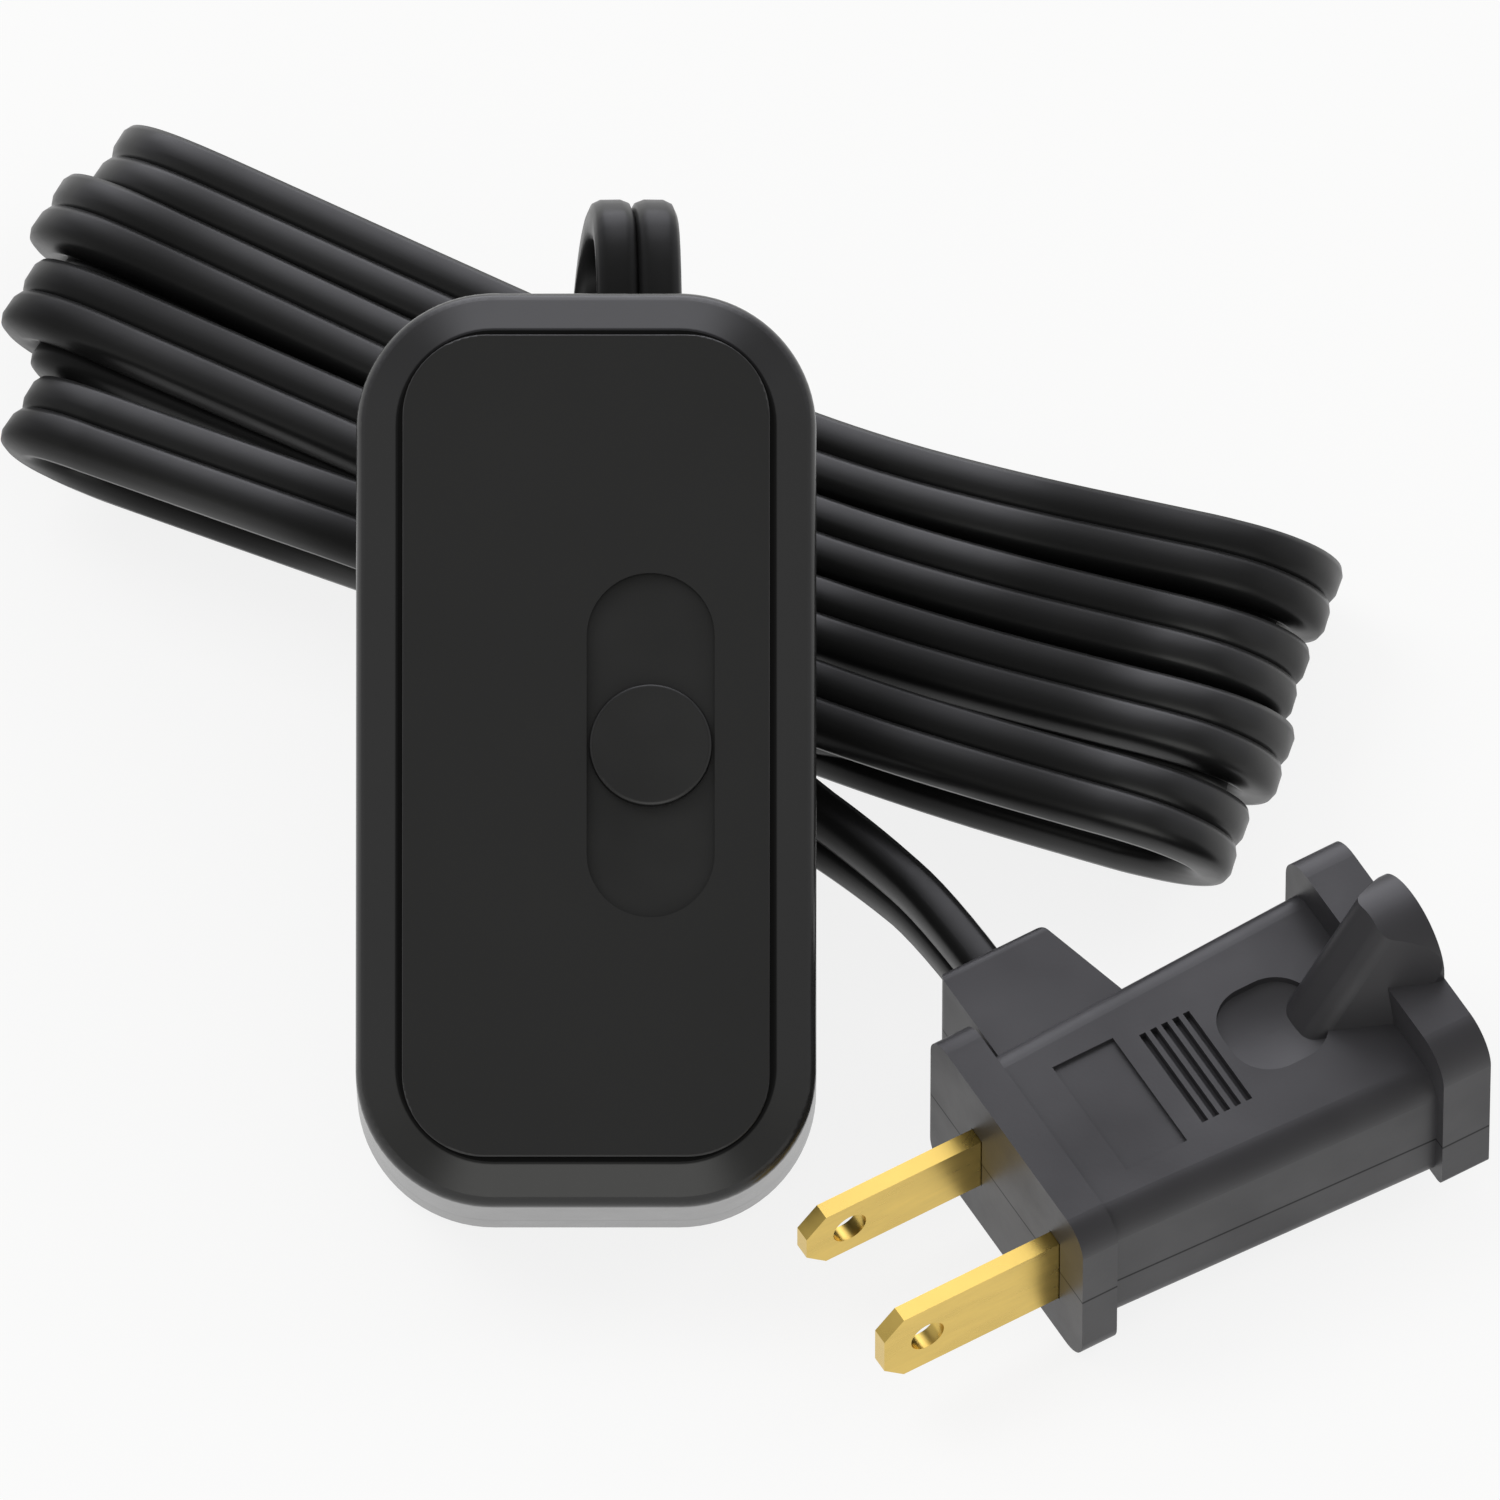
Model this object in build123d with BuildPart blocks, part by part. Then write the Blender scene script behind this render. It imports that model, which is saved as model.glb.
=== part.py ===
from build123d import *
import math
import os

# Plug-in table-lamp slide dimmer with its flat cord in a hank and a piggyback plug.
# Millimetres. +Z up, floor at Z = 0, +Y away from the viewer, +X to the viewer's right.
# The case leans with its near lower edge on the floor and its far end on the hank.

# Case of the dimmer
CASE_WIDTH = 38.5
CASE_LENGTH = 77.0
CASE_HEIGHT = 19.0
CASE_TILT = 28.0
CORNER_RADIUS = 11.5
CASE_WALL = 2.0
FLOOR_WALL = 2.0
ROOF_WALL = 1.8
SLOT_ROOF = 0.7
SEAM_HEIGHT = 6.0
LIP_HEIGHT = 1.2
LIP_WALL = 0.9
RIM_WIDTH = 3.5
RIM_DROP = 2.2
RIM_ROUND = 1.6
PANEL_LEDGE = 0.4
PANEL_CORNER = 6.9
PANEL_STEP = 0.4
PANEL_EDGE = 0.15
FOOT_RADIUS = 0.8
FIT_GAP = 0.2

# Slider and its slot in the panel
SLOT_OFFSET = 5.4
SLOT_WIDTH = 10.7
SLOT_LENGTH = 29.0
KNOB_GAP = 0.2
KNOB_PROUD = 0.4
KNOB_EDGE = 0.35
STRIP_WIDTH = 13.0
STRIP_THICKNESS = 1.2
STRIP_COVER = 0.6
RAIL_WIDTH = 1.4
RAIL_LEDGE = 1.0
FORK_DEPTH = 2.6
FORK_THICKNESS = 1.4
FORK_WIDTH = 5.0

# Circuit board and what stands on it: across from the middle, along from the board's near end
BOARD_GAP = 0.15
BOARD_END_GAP = 12.0
BOARD_SHIFT = -1.0
BOARD_THICKNESS = 1.6
BOARD_REST = 2.4
BOARD_CORNER = 3.0
POST_RADIUS = 1.6
POST_INSET = 3.5
POT_WIDTH = 9.0
POT_END_GAP = 16.0
POT_HEIGHT = 6.4
POT_CORNER = 1.0
POT_GROOVE = 1.8
POT_GROOVE_DEPTH = 3.0
LEVER_WIDTH = 4.0
LEVER_THICKNESS = 1.2
LEVER_SINK = 2.4
LEVER_GAP = 0.1
SINK_THICKNESS = 1.5
SINK_LENGTH = 30.0
SINK_HEIGHT = 9.0
SINK_INSET = 1.0
SINK_END = 15.5
TRIAC_WIDTH = 10.0
TRIAC_HEIGHT = 8.0
TRIAC_DEPTH = 4.4
TRIAC_LIFT = 1.5
TRIAC_LEG = 0.8
TRIAC_LEGS = 3
TRIAC_PITCH = 2.54
CHOKE_RADIUS = 6.0
CHOKE_HOLE = 2.8
CHOKE_HEIGHT = 5.0
CHOKE_PLACE = (-7.6, 41.5)
WINDING_BUILD = 1.0
WINDING_CORNER = 0.8
WINDING_SPAN = 300.0
CAPACITOR_WIDTH = 5.0
CAPACITOR_LENGTH = 12.0
CAPACITOR_HEIGHT = 8.2
CAPACITOR_PLACE = (-6.5, 26.5)
DISC_RADIUS = 3.8
DISC_THICKNESS = 2.6
DISC_PLACE = (-5.0, 15.0)
RESISTOR_RADIUS = 1.2
RESISTOR_LENGTH = 6.3
RESISTOR_PLACES = [(-6.0, 7.5), (-6.0, 3.5)]
DIAC_RADIUS = 1.0
DIAC_LENGTH = 4.2
DIAC_PLACE = (3.0, 12.5)

# Screws
SCREW_RADIUS = 1.3
SCREW_HEAD_RADIUS = 2.4
SCREW_HEAD_HEIGHT = 1.4
SCREW_LENGTH = 8.0
SCREW_RECESS = 0.4
SCREW_GAP = 0.05
BOSS_WALL = 1.5
BOSS_SIDE = -9.0
BOSS_INSET = 6.5
BOSS_MEET = 7.4

# Flat cord and its clamp
CORD_WIDTH = 7.2
CORD_THICKNESS = 3.7
CORD_OFFSET = 4.5
CORD_GAP = 0.25
CORD_INSIDE = 11.5
CLAMP_LENGTH = 4.0
CLAMP_HEIGHT = 2.2
CLAMP_INSET = 8.5
CLAMP_SPREAD = 6.8
CLAMP_GAP = 0.05
CLAMP_PILLAR = 2.0
CLAMP_SCREW_LENGTH = 4.0
WIRE_RADIUS = 0.8
WIRE_LENGTH = 3.6
WIRE_SPREAD = 1.8

# Hank: plan of the middle of its top, and the size of its leaning section
HANK_LEFT = (-48.0, 58.4)
HANK_KNEE = (21.5, 21.2)
HANK_RIGHT = (60.0, 10.4)
HANK_BEND = 120.0
HANK_WIDTH = 32.5
HANK_HEIGHT = 18.3
HANK_LEAN = 8.4

# Plug: two moulded halves that meet at the parting height
PLUG_PLACE = (35.9, -34.7)
PLUG_ANGLE = 30.7
PLUG_LENGTH = 38.6
PLUG_HEIGHT = 18.0
PARTING_HEIGHT = 9.0
FRONT_WIDTH = 24.8
FRONT_SHIFT = 1.5
FRONT_THICKNESS = 3.4
FRONT_CORNER = 2.6
BACK_WIDTH = 25.6
BACK_THICKNESS = 4.6
BACK_BOTTOM = 3.4
BACK_TOP = 21.2
BACK_CORNER = 3.4
BACK_FOOT = 0.8
BODY_FRONT_WIDTH = 20.8
BODY_BACK_WIDTH = 23.4
BODY_BOTTOM = 3.2
BODY_TOP = 17.3
BODY_CORNER = 2.4
ARM_START = 4.2
ARM_WIDTH = 12.4
ARM_END_WIDTH = 9.9
ARM_REACH = 19.9
ARM_BOTTOM = 5.0
ARM_TOP = 16.4
ARM_CORNER = 1.2
LUG_WIDTH = 10.4
LUG_FRONT_WIDTH = 4.4
LUG_NOSE = 1.9
LUG_FLARE = 7.0
LUG_TOP = 27.0
LUG_LENGTH = 12.1
LUG_LEAN = 7.9
THUMB_SETBACK = 13.3
THUMB_SHIFT = 0.5
THUMB_LENGTH = 8.8
THUMB_WIDTH = 8.8
THUMB_CORNER = 3.6
THUMB_DEPTH = 1.5
THUMB_RADIUS = 14.0
LABEL_PLACE = 10.1
LABEL_LENGTH = 5.9
LABEL_WIDTH = 12.1
LABEL_DEPTH = 0.4
GROOVE_PLACE = 17.5
GROOVE_COUNT = 5
GROOVE_PITCH = 1.07
GROOVE_WIDTH = 0.6
GROOVE_LENGTH = 10.3
GROOVE_DEPTH = 0.8

# Blades and contacts
BLADE_SPACING = 12.7
BLADE_THICKNESS = 1.52
BLADE_LENGTH = 17.0
NARROW_BLADE = 6.35
WIDE_BLADE = 7.92
BLADE_HOLE = 3.18
BLADE_HOLE_REACH = 12.8
BLADE_TIP = 1.9
BLADE_GAP = 0.1
SHOULDER_LENGTH = 1.6
TONGUE_REACH = 11.0
TONGUE_HEIGHT = 2.2
CONTACT_LENGTH = 15.0
CONTACT_LEAF = 0.6
CONTACT_SPARE = 0.1
CONTACT_SETBACK = 1.5
TAIL_REACH = 7.6
TAIL_HEIGHT = 4.4
SOCKET_WIDTH = 2.3
SOCKET_SPARE = 0.4
POCKET_WIDTH = 3.4
POCKET_HEIGHT = 8.4
POCKET_GAP = 0.3
POCKET_END = 1.2
CHAMBER_LENGTH = 7.0
CHAMBER_HEIGHT = 6.4
PLUG_CORD_INSIDE = 6.0
PLUG_WIRE_RADIUS = 0.8
PLUG_WIRE_GAP = 0.1

# Loose cord between the case, the hank and the plug: straight runs, then points on the way
EXIT_RUN = 4.5
EXIT_BEND = [
    (3.8, 46.2, 39.8),
    (2.8, 48.0, 31.0),
    (2.0, 43.6, 23.6),
    (2.6, 36.8, 19.4),
    (4.6, 30.0, 17.0),
]
LEAD_RUN = 7.0
LEAD_BEND = [
    (23.5, 1.0, 9.2),
    (16.0, 8.0, 8.2),
    (8.0, 16.9, 7.8),
]
BEND_SHARE = 0.45

# Heights and lengths that follow from the sizes above
tilt = math.radians(CASE_TILT)
rim_top = CASE_HEIGHT - PANEL_STEP
rim_foot = rim_top - RIM_DROP
rim_slope = math.atan2(RIM_WIDTH, RIM_DROP)
panel_margin = RIM_WIDTH + PANEL_LEDGE
roof_under = CASE_HEIGHT - ROOF_WALL
strip_roof = CASE_HEIGHT - SLOT_ROOF
strip_top = strip_roof - FIT_GAP
strip_bottom = strip_top - STRIP_THICKNESS
ledge_top = strip_bottom - FIT_GAP
lip_inset = CASE_WALL + FIT_GAP
tray_inset = lip_inset + LIP_WALL
board_width = CASE_WIDTH - 2 * (tray_inset + BOARD_GAP)
board_length = CASE_LENGTH - 2 * BOARD_END_GAP
board_near = BOARD_SHIFT - board_length / 2
board_top = FLOOR_WALL + BOARD_REST + BOARD_THICKNESS
pot_length = CASE_LENGTH - 2 * POT_END_GAP
pot_top = board_top + POT_HEIGHT
travel = SLOT_LENGTH - SLOT_WIDTH
strip_length = SLOT_LENGTH + travel + 2 * STRIP_COVER
rail_length = strip_length + travel
knob_radius = SLOT_WIDTH / 2 - KNOB_GAP
boss_radius = SCREW_RADIUS + BOSS_WALL
boss_reach = CASE_LENGTH / 2 - BOSS_INSET
clamp_reach = CASE_LENGTH / 2 - CLAMP_INSET
cord_height = SEAM_HEIGHT
clamp_under = cord_height + CORD_THICKNESS / 2 + CLAMP_GAP
clamp_top = clamp_under + CLAMP_HEIGHT

# The leaning frame of the case: X across, Y along, Z out of the panel
round_height = rim_foot - RIM_ROUND * math.tan(rim_slope / 2)
near_edge = RIM_ROUND * math.cos(tilt) - round_height * math.sin(tilt) - RIM_ROUND
far_edge = (CASE_LENGTH - FOOT_RADIUS) * math.cos(tilt) - FOOT_RADIUS * math.sin(tilt) + FOOT_RADIUS
foot_drop = FOOT_RADIUS * (math.sin(tilt) + math.cos(tilt) - 1)
case = Plane(
    origin=(
        0,
        CASE_LENGTH / 2 * math.cos(tilt) - (near_edge + far_edge) / 2,
        CASE_LENGTH / 2 * math.sin(tilt) - foot_drop,
    ),
    x_dir=(1, 0, 0),
    z_dir=(0, -math.sin(tilt), math.cos(tilt)),
)
case_up = Axis(case.origin, case.z_dir)
far_wall = Plane(
    origin=case.from_local_coords((CORD_OFFSET, CASE_LENGTH / 2, cord_height)),
    x_dir=case.x_dir,
    z_dir=case.y_dir,
)
wall_cut = CASE_WALL + LIP_WALL + 2 * FIT_GAP

# The frame of the plug: X from the blades to the outlet, Y towards the cord arm, Z up
plug_turn = math.radians(PLUG_ANGLE)
plug = Plane(
    origin=(PLUG_PLACE[0], PLUG_PLACE[1], 0),
    x_dir=(math.cos(plug_turn), math.sin(plug_turn), 0),
    z_dir=(0, 0, 1),
)
parting = plug.offset(PARTING_HEIGHT)
blade_height = PLUG_HEIGHT / 2


def case_height(edge):
    """Height of an edge's middle above the underside of the case."""
    return case.to_local_coords(edge.center()).Z


def plug_section(reach):
    """Cross plane of the plug at a distance behind its front face, at blade height."""
    return Plane(
        origin=plug.from_local_coords((reach, 0, blade_height)),
        x_dir=plug.y_dir,
        z_dir=plug.x_dir,
    )


def plug_side(offset):
    """Lengthwise upright plane of the plug, set off towards the cord arm."""
    return Plane(
        origin=plug.from_local_coords((0, offset, 0)),
        x_dir=plug.x_dir,
        z_dir=-plug.y_dir,
    )


def cord_radii(route):
    """Largest tangent arc that the two runs at each inner point of a route allow."""
    points = [Vector(p) for p in route]
    radii = []
    for before, here, after in zip(points, points[1:], points[2:]):
        arriving = here - before
        leaving = after - here
        half_turn = math.radians(arriving.get_angle(leaving)) / 2
        shorter = min(arriving.length, leaving.length)
        radii.append(BEND_SHARE * shorter / math.tan(half_turn))
    return radii


os.makedirs("parts", exist_ok=True)

# Lower half of the case
with BuildPart() as base_tray:
    with BuildSketch(case):
        RectangleRounded(CASE_WIDTH, CASE_LENGTH, CORNER_RADIUS)
    extrude(amount=SEAM_HEIGHT)
    fillet(base_tray.faces().sort_by(case_up)[0].edges(), FOOT_RADIUS)
    with BuildSketch(case.offset(SEAM_HEIGHT)):
        RectangleRounded(
            CASE_WIDTH - 2 * lip_inset, CASE_LENGTH - 2 * lip_inset, CORNER_RADIUS - lip_inset
        )
    extrude(amount=LIP_HEIGHT)
    with BuildSketch(case.offset(FLOOR_WALL)):
        RectangleRounded(
            CASE_WIDTH - 2 * tray_inset, CASE_LENGTH - 2 * tray_inset, CORNER_RADIUS - tray_inset
        )
    extrude(amount=SEAM_HEIGHT + LIP_HEIGHT - FLOOR_WALL, mode=Mode.SUBTRACT)
    # Posts under the board
    with BuildSketch(case.offset(FLOOR_WALL)):
        with Locations((0, BOARD_SHIFT)):
            with GridLocations(board_width - 2 * POST_INSET, board_length - 2 * POST_INSET, 2, 2):
                Circle(POST_RADIUS)
    extrude(amount=BOARD_REST)
    # Screw bosses
    with BuildSketch(case.offset(FLOOR_WALL)):
        with Locations((BOSS_SIDE, -boss_reach), (BOSS_SIDE, boss_reach)):
            Circle(boss_radius)
    extrude(amount=BOSS_MEET - FLOOR_WALL)
    with BuildSketch(case):
        with Locations((BOSS_SIDE, -boss_reach), (BOSS_SIDE, boss_reach)):
            Circle(SCREW_HEAD_RADIUS + FIT_GAP)
    extrude(amount=SCREW_HEAD_HEIGHT + SCREW_RECESS, mode=Mode.SUBTRACT)
    with BuildSketch(case):
        with Locations((BOSS_SIDE, -boss_reach), (BOSS_SIDE, boss_reach)):
            Circle(SCREW_RADIUS + FIT_GAP)
    extrude(amount=BOSS_MEET, mode=Mode.SUBTRACT)
    # Saddle under the cord and the two pillars of the clamp
    with BuildSketch(case.offset(FLOOR_WALL)):
        with Locations((CORD_OFFSET, clamp_reach)):
            Rectangle(CORD_WIDTH, CLAMP_LENGTH)
    extrude(amount=cord_height - CORD_THICKNESS / 2 - CLAMP_GAP - FLOOR_WALL)
    with BuildSketch(case.offset(FLOOR_WALL)):
        with Locations((CORD_OFFSET, clamp_reach)):
            with GridLocations(2 * CLAMP_SPREAD, 0, 2, 1):
                Circle(CLAMP_PILLAR)
                Circle(SCREW_RADIUS + SCREW_GAP, mode=Mode.SUBTRACT)
    extrude(amount=clamp_under - FLOOR_WALL)
    # Half of the opening for the cord
    with BuildSketch(far_wall):
        SlotOverall(CORD_WIDTH + 2 * CORD_GAP, CORD_THICKNESS + 2 * CORD_GAP)
    extrude(amount=-wall_cut, mode=Mode.SUBTRACT)
base_tray.part.label = "base_tray"
export_step(base_tray.part, "parts/base_tray.step")

# Upper half of the case, with its bevelled rim, flat panel and slider slot
with BuildPart() as top_cover:
    with BuildSketch(case.offset(SEAM_HEIGHT)):
        RectangleRounded(CASE_WIDTH, CASE_LENGTH, CORNER_RADIUS)
    extrude(amount=rim_foot - SEAM_HEIGHT)
    with BuildSketch(case.offset(rim_foot)):
        RectangleRounded(CASE_WIDTH, CASE_LENGTH, CORNER_RADIUS)
    with BuildSketch(case.offset(rim_top)):
        RectangleRounded(CASE_WIDTH - 2 * RIM_WIDTH, CASE_LENGTH - 2 * RIM_WIDTH, CORNER_RADIUS - RIM_WIDTH)
    loft()
    rim_edges = top_cover.edges().filter_by(lambda e: abs(case_height(e) - rim_foot) < FIT_GAP)
    fillet(rim_edges, RIM_ROUND)
    with BuildSketch(case.offset(rim_top)):
        RectangleRounded(CASE_WIDTH - 2 * panel_margin, CASE_LENGTH - 2 * panel_margin, PANEL_CORNER)
    extrude(amount=PANEL_STEP)
    fillet(top_cover.faces().sort_by(case_up)[-1].edges(), PANEL_EDGE)
    with BuildSketch(case.offset(SEAM_HEIGHT)):
        RectangleRounded(
            CASE_WIDTH - 2 * CASE_WALL, CASE_LENGTH - 2 * CASE_WALL, CORNER_RADIUS - CASE_WALL
        )
    extrude(amount=roof_under - SEAM_HEIGHT, mode=Mode.SUBTRACT)
    # Thin roof over the slider strip, and the rails that carry it
    with BuildSketch(case.offset(roof_under)):
        with Locations((SLOT_OFFSET, 0)):
            Rectangle(STRIP_WIDTH + 2 * FIT_GAP, rail_length)
    extrude(amount=strip_roof - roof_under, mode=Mode.SUBTRACT)
    rail_offset = (STRIP_WIDTH + RAIL_WIDTH) / 2 + FIT_GAP
    with BuildSketch(case.offset(ledge_top)):
        with Locations((SLOT_OFFSET - rail_offset, 0), (SLOT_OFFSET + rail_offset, 0)):
            Rectangle(RAIL_WIDTH, rail_length)
    extrude(amount=roof_under - ledge_top)
    ledge_offset = rail_offset - RAIL_LEDGE / 2
    with BuildSketch(case.offset(ledge_top)):
        with Locations((SLOT_OFFSET - ledge_offset, 0), (SLOT_OFFSET + ledge_offset, 0)):
            Rectangle(RAIL_WIDTH + RAIL_LEDGE, rail_length)
    extrude(amount=-RAIL_LEDGE)
    # Screw bosses
    with BuildSketch(case.offset(BOSS_MEET)):
        with Locations((BOSS_SIDE, -boss_reach), (BOSS_SIDE, boss_reach)):
            Circle(boss_radius)
    extrude(amount=roof_under - BOSS_MEET)
    with BuildSketch(case.offset(BOSS_MEET)):
        with Locations((BOSS_SIDE, -boss_reach), (BOSS_SIDE, boss_reach)):
            Circle(SCREW_RADIUS + SCREW_GAP)
    extrude(amount=SCREW_LENGTH, mode=Mode.SUBTRACT)
    # Slot for the knob
    with BuildSketch(case.offset(roof_under)):
        with Locations((SLOT_OFFSET, 0)):
            SlotOverall(SLOT_LENGTH, SLOT_WIDTH, rotation=90)
    extrude(amount=ROOF_WALL, mode=Mode.SUBTRACT)
    # Half of the opening for the cord
    with BuildSketch(far_wall):
        SlotOverall(CORD_WIDTH + 2 * CORD_GAP, CORD_THICKNESS + 2 * CORD_GAP)
    extrude(amount=-wall_cut, mode=Mode.SUBTRACT)
top_cover.part.label = "top_cover"
export_step(top_cover.part, "parts/top_cover.step")

# Slider: a strip that keeps the slot covered, its round knob and its fork
with BuildPart() as slider:
    with BuildSketch(case.offset(strip_bottom)):
        with Locations((SLOT_OFFSET, 0)):
            Rectangle(STRIP_WIDTH, strip_length)
    extrude(amount=STRIP_THICKNESS)
    knob_top = CASE_HEIGHT + KNOB_PROUD
    with BuildSketch(case.offset(strip_top)):
        with Locations((SLOT_OFFSET, 0)):
            Circle(knob_radius)
    extrude(amount=knob_top - strip_top)
    fillet(slider.faces().sort_by(case_up)[-1].edges(), KNOB_EDGE)
    fork_offset = LEVER_WIDTH / 2 + LEVER_GAP + FORK_THICKNESS / 2
    with BuildSketch(case.offset(strip_bottom)):
        with Locations((SLOT_OFFSET, -fork_offset), (SLOT_OFFSET, fork_offset)):
            Rectangle(FORK_WIDTH, FORK_THICKNESS)
    extrude(amount=-FORK_DEPTH)
slider.part.label = "slider"
export_step(slider.part, "parts/slider.step")

# Lever of the slide potentiometer, held in the slider's fork
with BuildPart() as pot_lever:
    with BuildSketch(case.offset(pot_top - LEVER_SINK)):
        with Locations((SLOT_OFFSET, 0)):
            Rectangle(LEVER_THICKNESS, LEVER_WIDTH)
    extrude(amount=strip_bottom - LEVER_GAP - pot_top + LEVER_SINK)
pot_lever.part.label = "pot_lever"
export_step(pot_lever.part, "parts/pot_lever.step")

# Slide potentiometer with its long groove
with BuildPart() as pot_body:
    with BuildSketch(case.offset(board_top)):
        with Locations((SLOT_OFFSET, 0)):
            RectangleRounded(POT_WIDTH, pot_length, POT_CORNER)
    extrude(amount=POT_HEIGHT)
    with BuildSketch(case.offset(pot_top)):
        with Locations((SLOT_OFFSET, 0)):
            Rectangle(POT_GROOVE, travel + 2 * LEVER_WIDTH)
    extrude(amount=-POT_GROOVE_DEPTH, mode=Mode.SUBTRACT)
pot_body.part.label = "pot_body"
export_step(pot_body.part, "parts/pot_body.step")

# Circuit board
with BuildPart() as circuit_board:
    with BuildSketch(case.offset(board_top)):
        with Locations((0, BOARD_SHIFT)):
            RectangleRounded(board_width, board_length, BOARD_CORNER)
    extrude(amount=-BOARD_THICKNESS)
circuit_board.part.label = "circuit_board"
export_step(circuit_board.part, "parts/circuit_board.step")

# Heat sink plate standing on the board
sink_place = (SINK_INSET - board_width / 2, board_near + SINK_END)
with BuildPart() as heat_sink:
    with BuildSketch(case.offset(board_top)):
        with Locations(sink_place):
            Rectangle(SINK_THICKNESS, SINK_LENGTH)
    extrude(amount=SINK_HEIGHT)
heat_sink.part.label = "heat_sink"
export_step(heat_sink.part, "parts/heat_sink.step")

# Triac with its back on the heat sink and three legs on the board
triac_offset = sink_place[0] + (SINK_THICKNESS + TRIAC_DEPTH) / 2
with BuildPart() as triac:
    with BuildSketch(case.offset(board_top + TRIAC_LIFT)):
        with Locations((triac_offset, sink_place[1])):
            Rectangle(TRIAC_DEPTH, TRIAC_WIDTH)
    extrude(amount=TRIAC_HEIGHT)
    with BuildSketch(case.offset(board_top)):
        with Locations((triac_offset, sink_place[1])):
            with GridLocations(0, TRIAC_PITCH, 1, TRIAC_LEGS):
                Rectangle(TRIAC_LEG, TRIAC_LEG)
    extrude(amount=TRIAC_LIFT)
triac.part.label = "triac"
export_step(triac.part, "parts/triac.step")

# Interference choke: a ring core and the winding that wraps most of it
choke_middle = board_top + WINDING_BUILD + CHOKE_HEIGHT / 2
choke_section = Plane(
    origin=case.from_local_coords((CHOKE_PLACE[0], board_near + CHOKE_PLACE[1], choke_middle)),
    x_dir=case.x_dir,
    z_dir=-case.y_dir,
)
choke_axis = Axis(choke_section.origin, case.z_dir)
core_middle = (CHOKE_RADIUS + CHOKE_HOLE) / 2
core_width = CHOKE_RADIUS - CHOKE_HOLE
with BuildPart() as choke_core:
    with BuildSketch(choke_section):
        with Locations((core_middle, 0)):
            Rectangle(core_width, CHOKE_HEIGHT)
    revolve(axis=choke_axis)
choke_core.part.label = "choke_core"
export_step(choke_core.part, "parts/choke_core.step")

with BuildPart() as choke_winding:
    with BuildSketch(choke_section):
        with Locations((core_middle, 0)):
            RectangleRounded(
                core_width + 2 * WINDING_BUILD, CHOKE_HEIGHT + 2 * WINDING_BUILD, WINDING_CORNER
            )
            Rectangle(core_width, CHOKE_HEIGHT, mode=Mode.SUBTRACT)
    revolve(axis=choke_axis, revolution_arc=WINDING_SPAN)
choke_winding.part.label = "choke_winding"
export_step(choke_winding.part, "parts/choke_winding.step")

# Film capacitor
with BuildPart() as film_capacitor:
    with BuildSketch(case.offset(board_top)):
        with Locations((CAPACITOR_PLACE[0], board_near + CAPACITOR_PLACE[1])):
            Rectangle(CAPACITOR_WIDTH, CAPACITOR_LENGTH)
    extrude(amount=CAPACITOR_HEIGHT)
film_capacitor.part.label = "film_capacitor"
export_step(film_capacitor.part, "parts/film_capacitor.step")

# Disc capacitor standing on its rim
disc_plane = Plane(
    origin=case.from_local_coords((DISC_PLACE[0], board_near + DISC_PLACE[1], board_top + DISC_RADIUS)),
    x_dir=case.y_dir,
    z_dir=case.x_dir,
)
with BuildPart() as disc_capacitor:
    with BuildSketch(disc_plane):
        Circle(DISC_RADIUS)
    extrude(amount=DISC_THICKNESS / 2, both=True)
disc_capacitor.part.label = "disc_capacitor"
export_step(disc_capacitor.part, "parts/disc_capacitor.step")

# Two resistors lying across the board
resistor_plane = Plane(
    origin=case.from_local_coords((0, 0, board_top + RESISTOR_RADIUS)),
    x_dir=case.y_dir,
    z_dir=case.x_dir,
)
with BuildPart() as resistors:
    for across, along in RESISTOR_PLACES:
        with BuildSketch(resistor_plane.offset(across)):
            with Locations((board_near + along, 0)):
                Circle(RESISTOR_RADIUS)
        extrude(amount=RESISTOR_LENGTH / 2, both=True)
resistors.part.label = "resistors"
export_step(resistors.part, "parts/resistors.step")

# Trigger diac lying along the board
diac_plane = Plane(
    origin=case.from_local_coords(
        (board_width / 2 - DIAC_PLACE[0], board_near + DIAC_PLACE[1], board_top + DIAC_RADIUS)
    ),
    x_dir=case.x_dir,
    z_dir=-case.y_dir,
)
with BuildPart() as diac:
    with BuildSketch(diac_plane):
        Circle(DIAC_RADIUS)
    extrude(amount=DIAC_LENGTH / 2, both=True)
diac.part.label = "diac"
export_step(diac.part, "parts/diac.step")

# Clamp bar over the cord and its two screws
with BuildPart() as cord_clamp:
    with BuildSketch(case.offset(clamp_under)):
        with Locations((CORD_OFFSET, clamp_reach)):
            SlotCenterToCenter(2 * CLAMP_SPREAD, CLAMP_LENGTH)
            with GridLocations(2 * CLAMP_SPREAD, 0, 2, 1):
                Circle(SCREW_RADIUS + SCREW_GAP, mode=Mode.SUBTRACT)
    extrude(amount=CLAMP_HEIGHT)
cord_clamp.part.label = "cord_clamp"
export_step(cord_clamp.part, "parts/cord_clamp.step")

with BuildPart() as clamp_screws:
    with BuildSketch(case.offset(clamp_top)):
        with Locations((CORD_OFFSET, clamp_reach)):
            with GridLocations(2 * CLAMP_SPREAD, 0, 2, 1):
                Circle(CLAMP_PILLAR)
    extrude(amount=SCREW_HEAD_HEIGHT)
    with BuildSketch(case.offset(clamp_top)):
        with Locations((CORD_OFFSET, clamp_reach)):
            with GridLocations(2 * CLAMP_SPREAD, 0, 2, 1):
                Circle(SCREW_RADIUS)
    extrude(amount=-CLAMP_HEIGHT - CLAMP_SCREW_LENGTH)
clamp_screws.part.label = "clamp_screws"
export_step(clamp_screws.part, "parts/clamp_screws.step")

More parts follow.
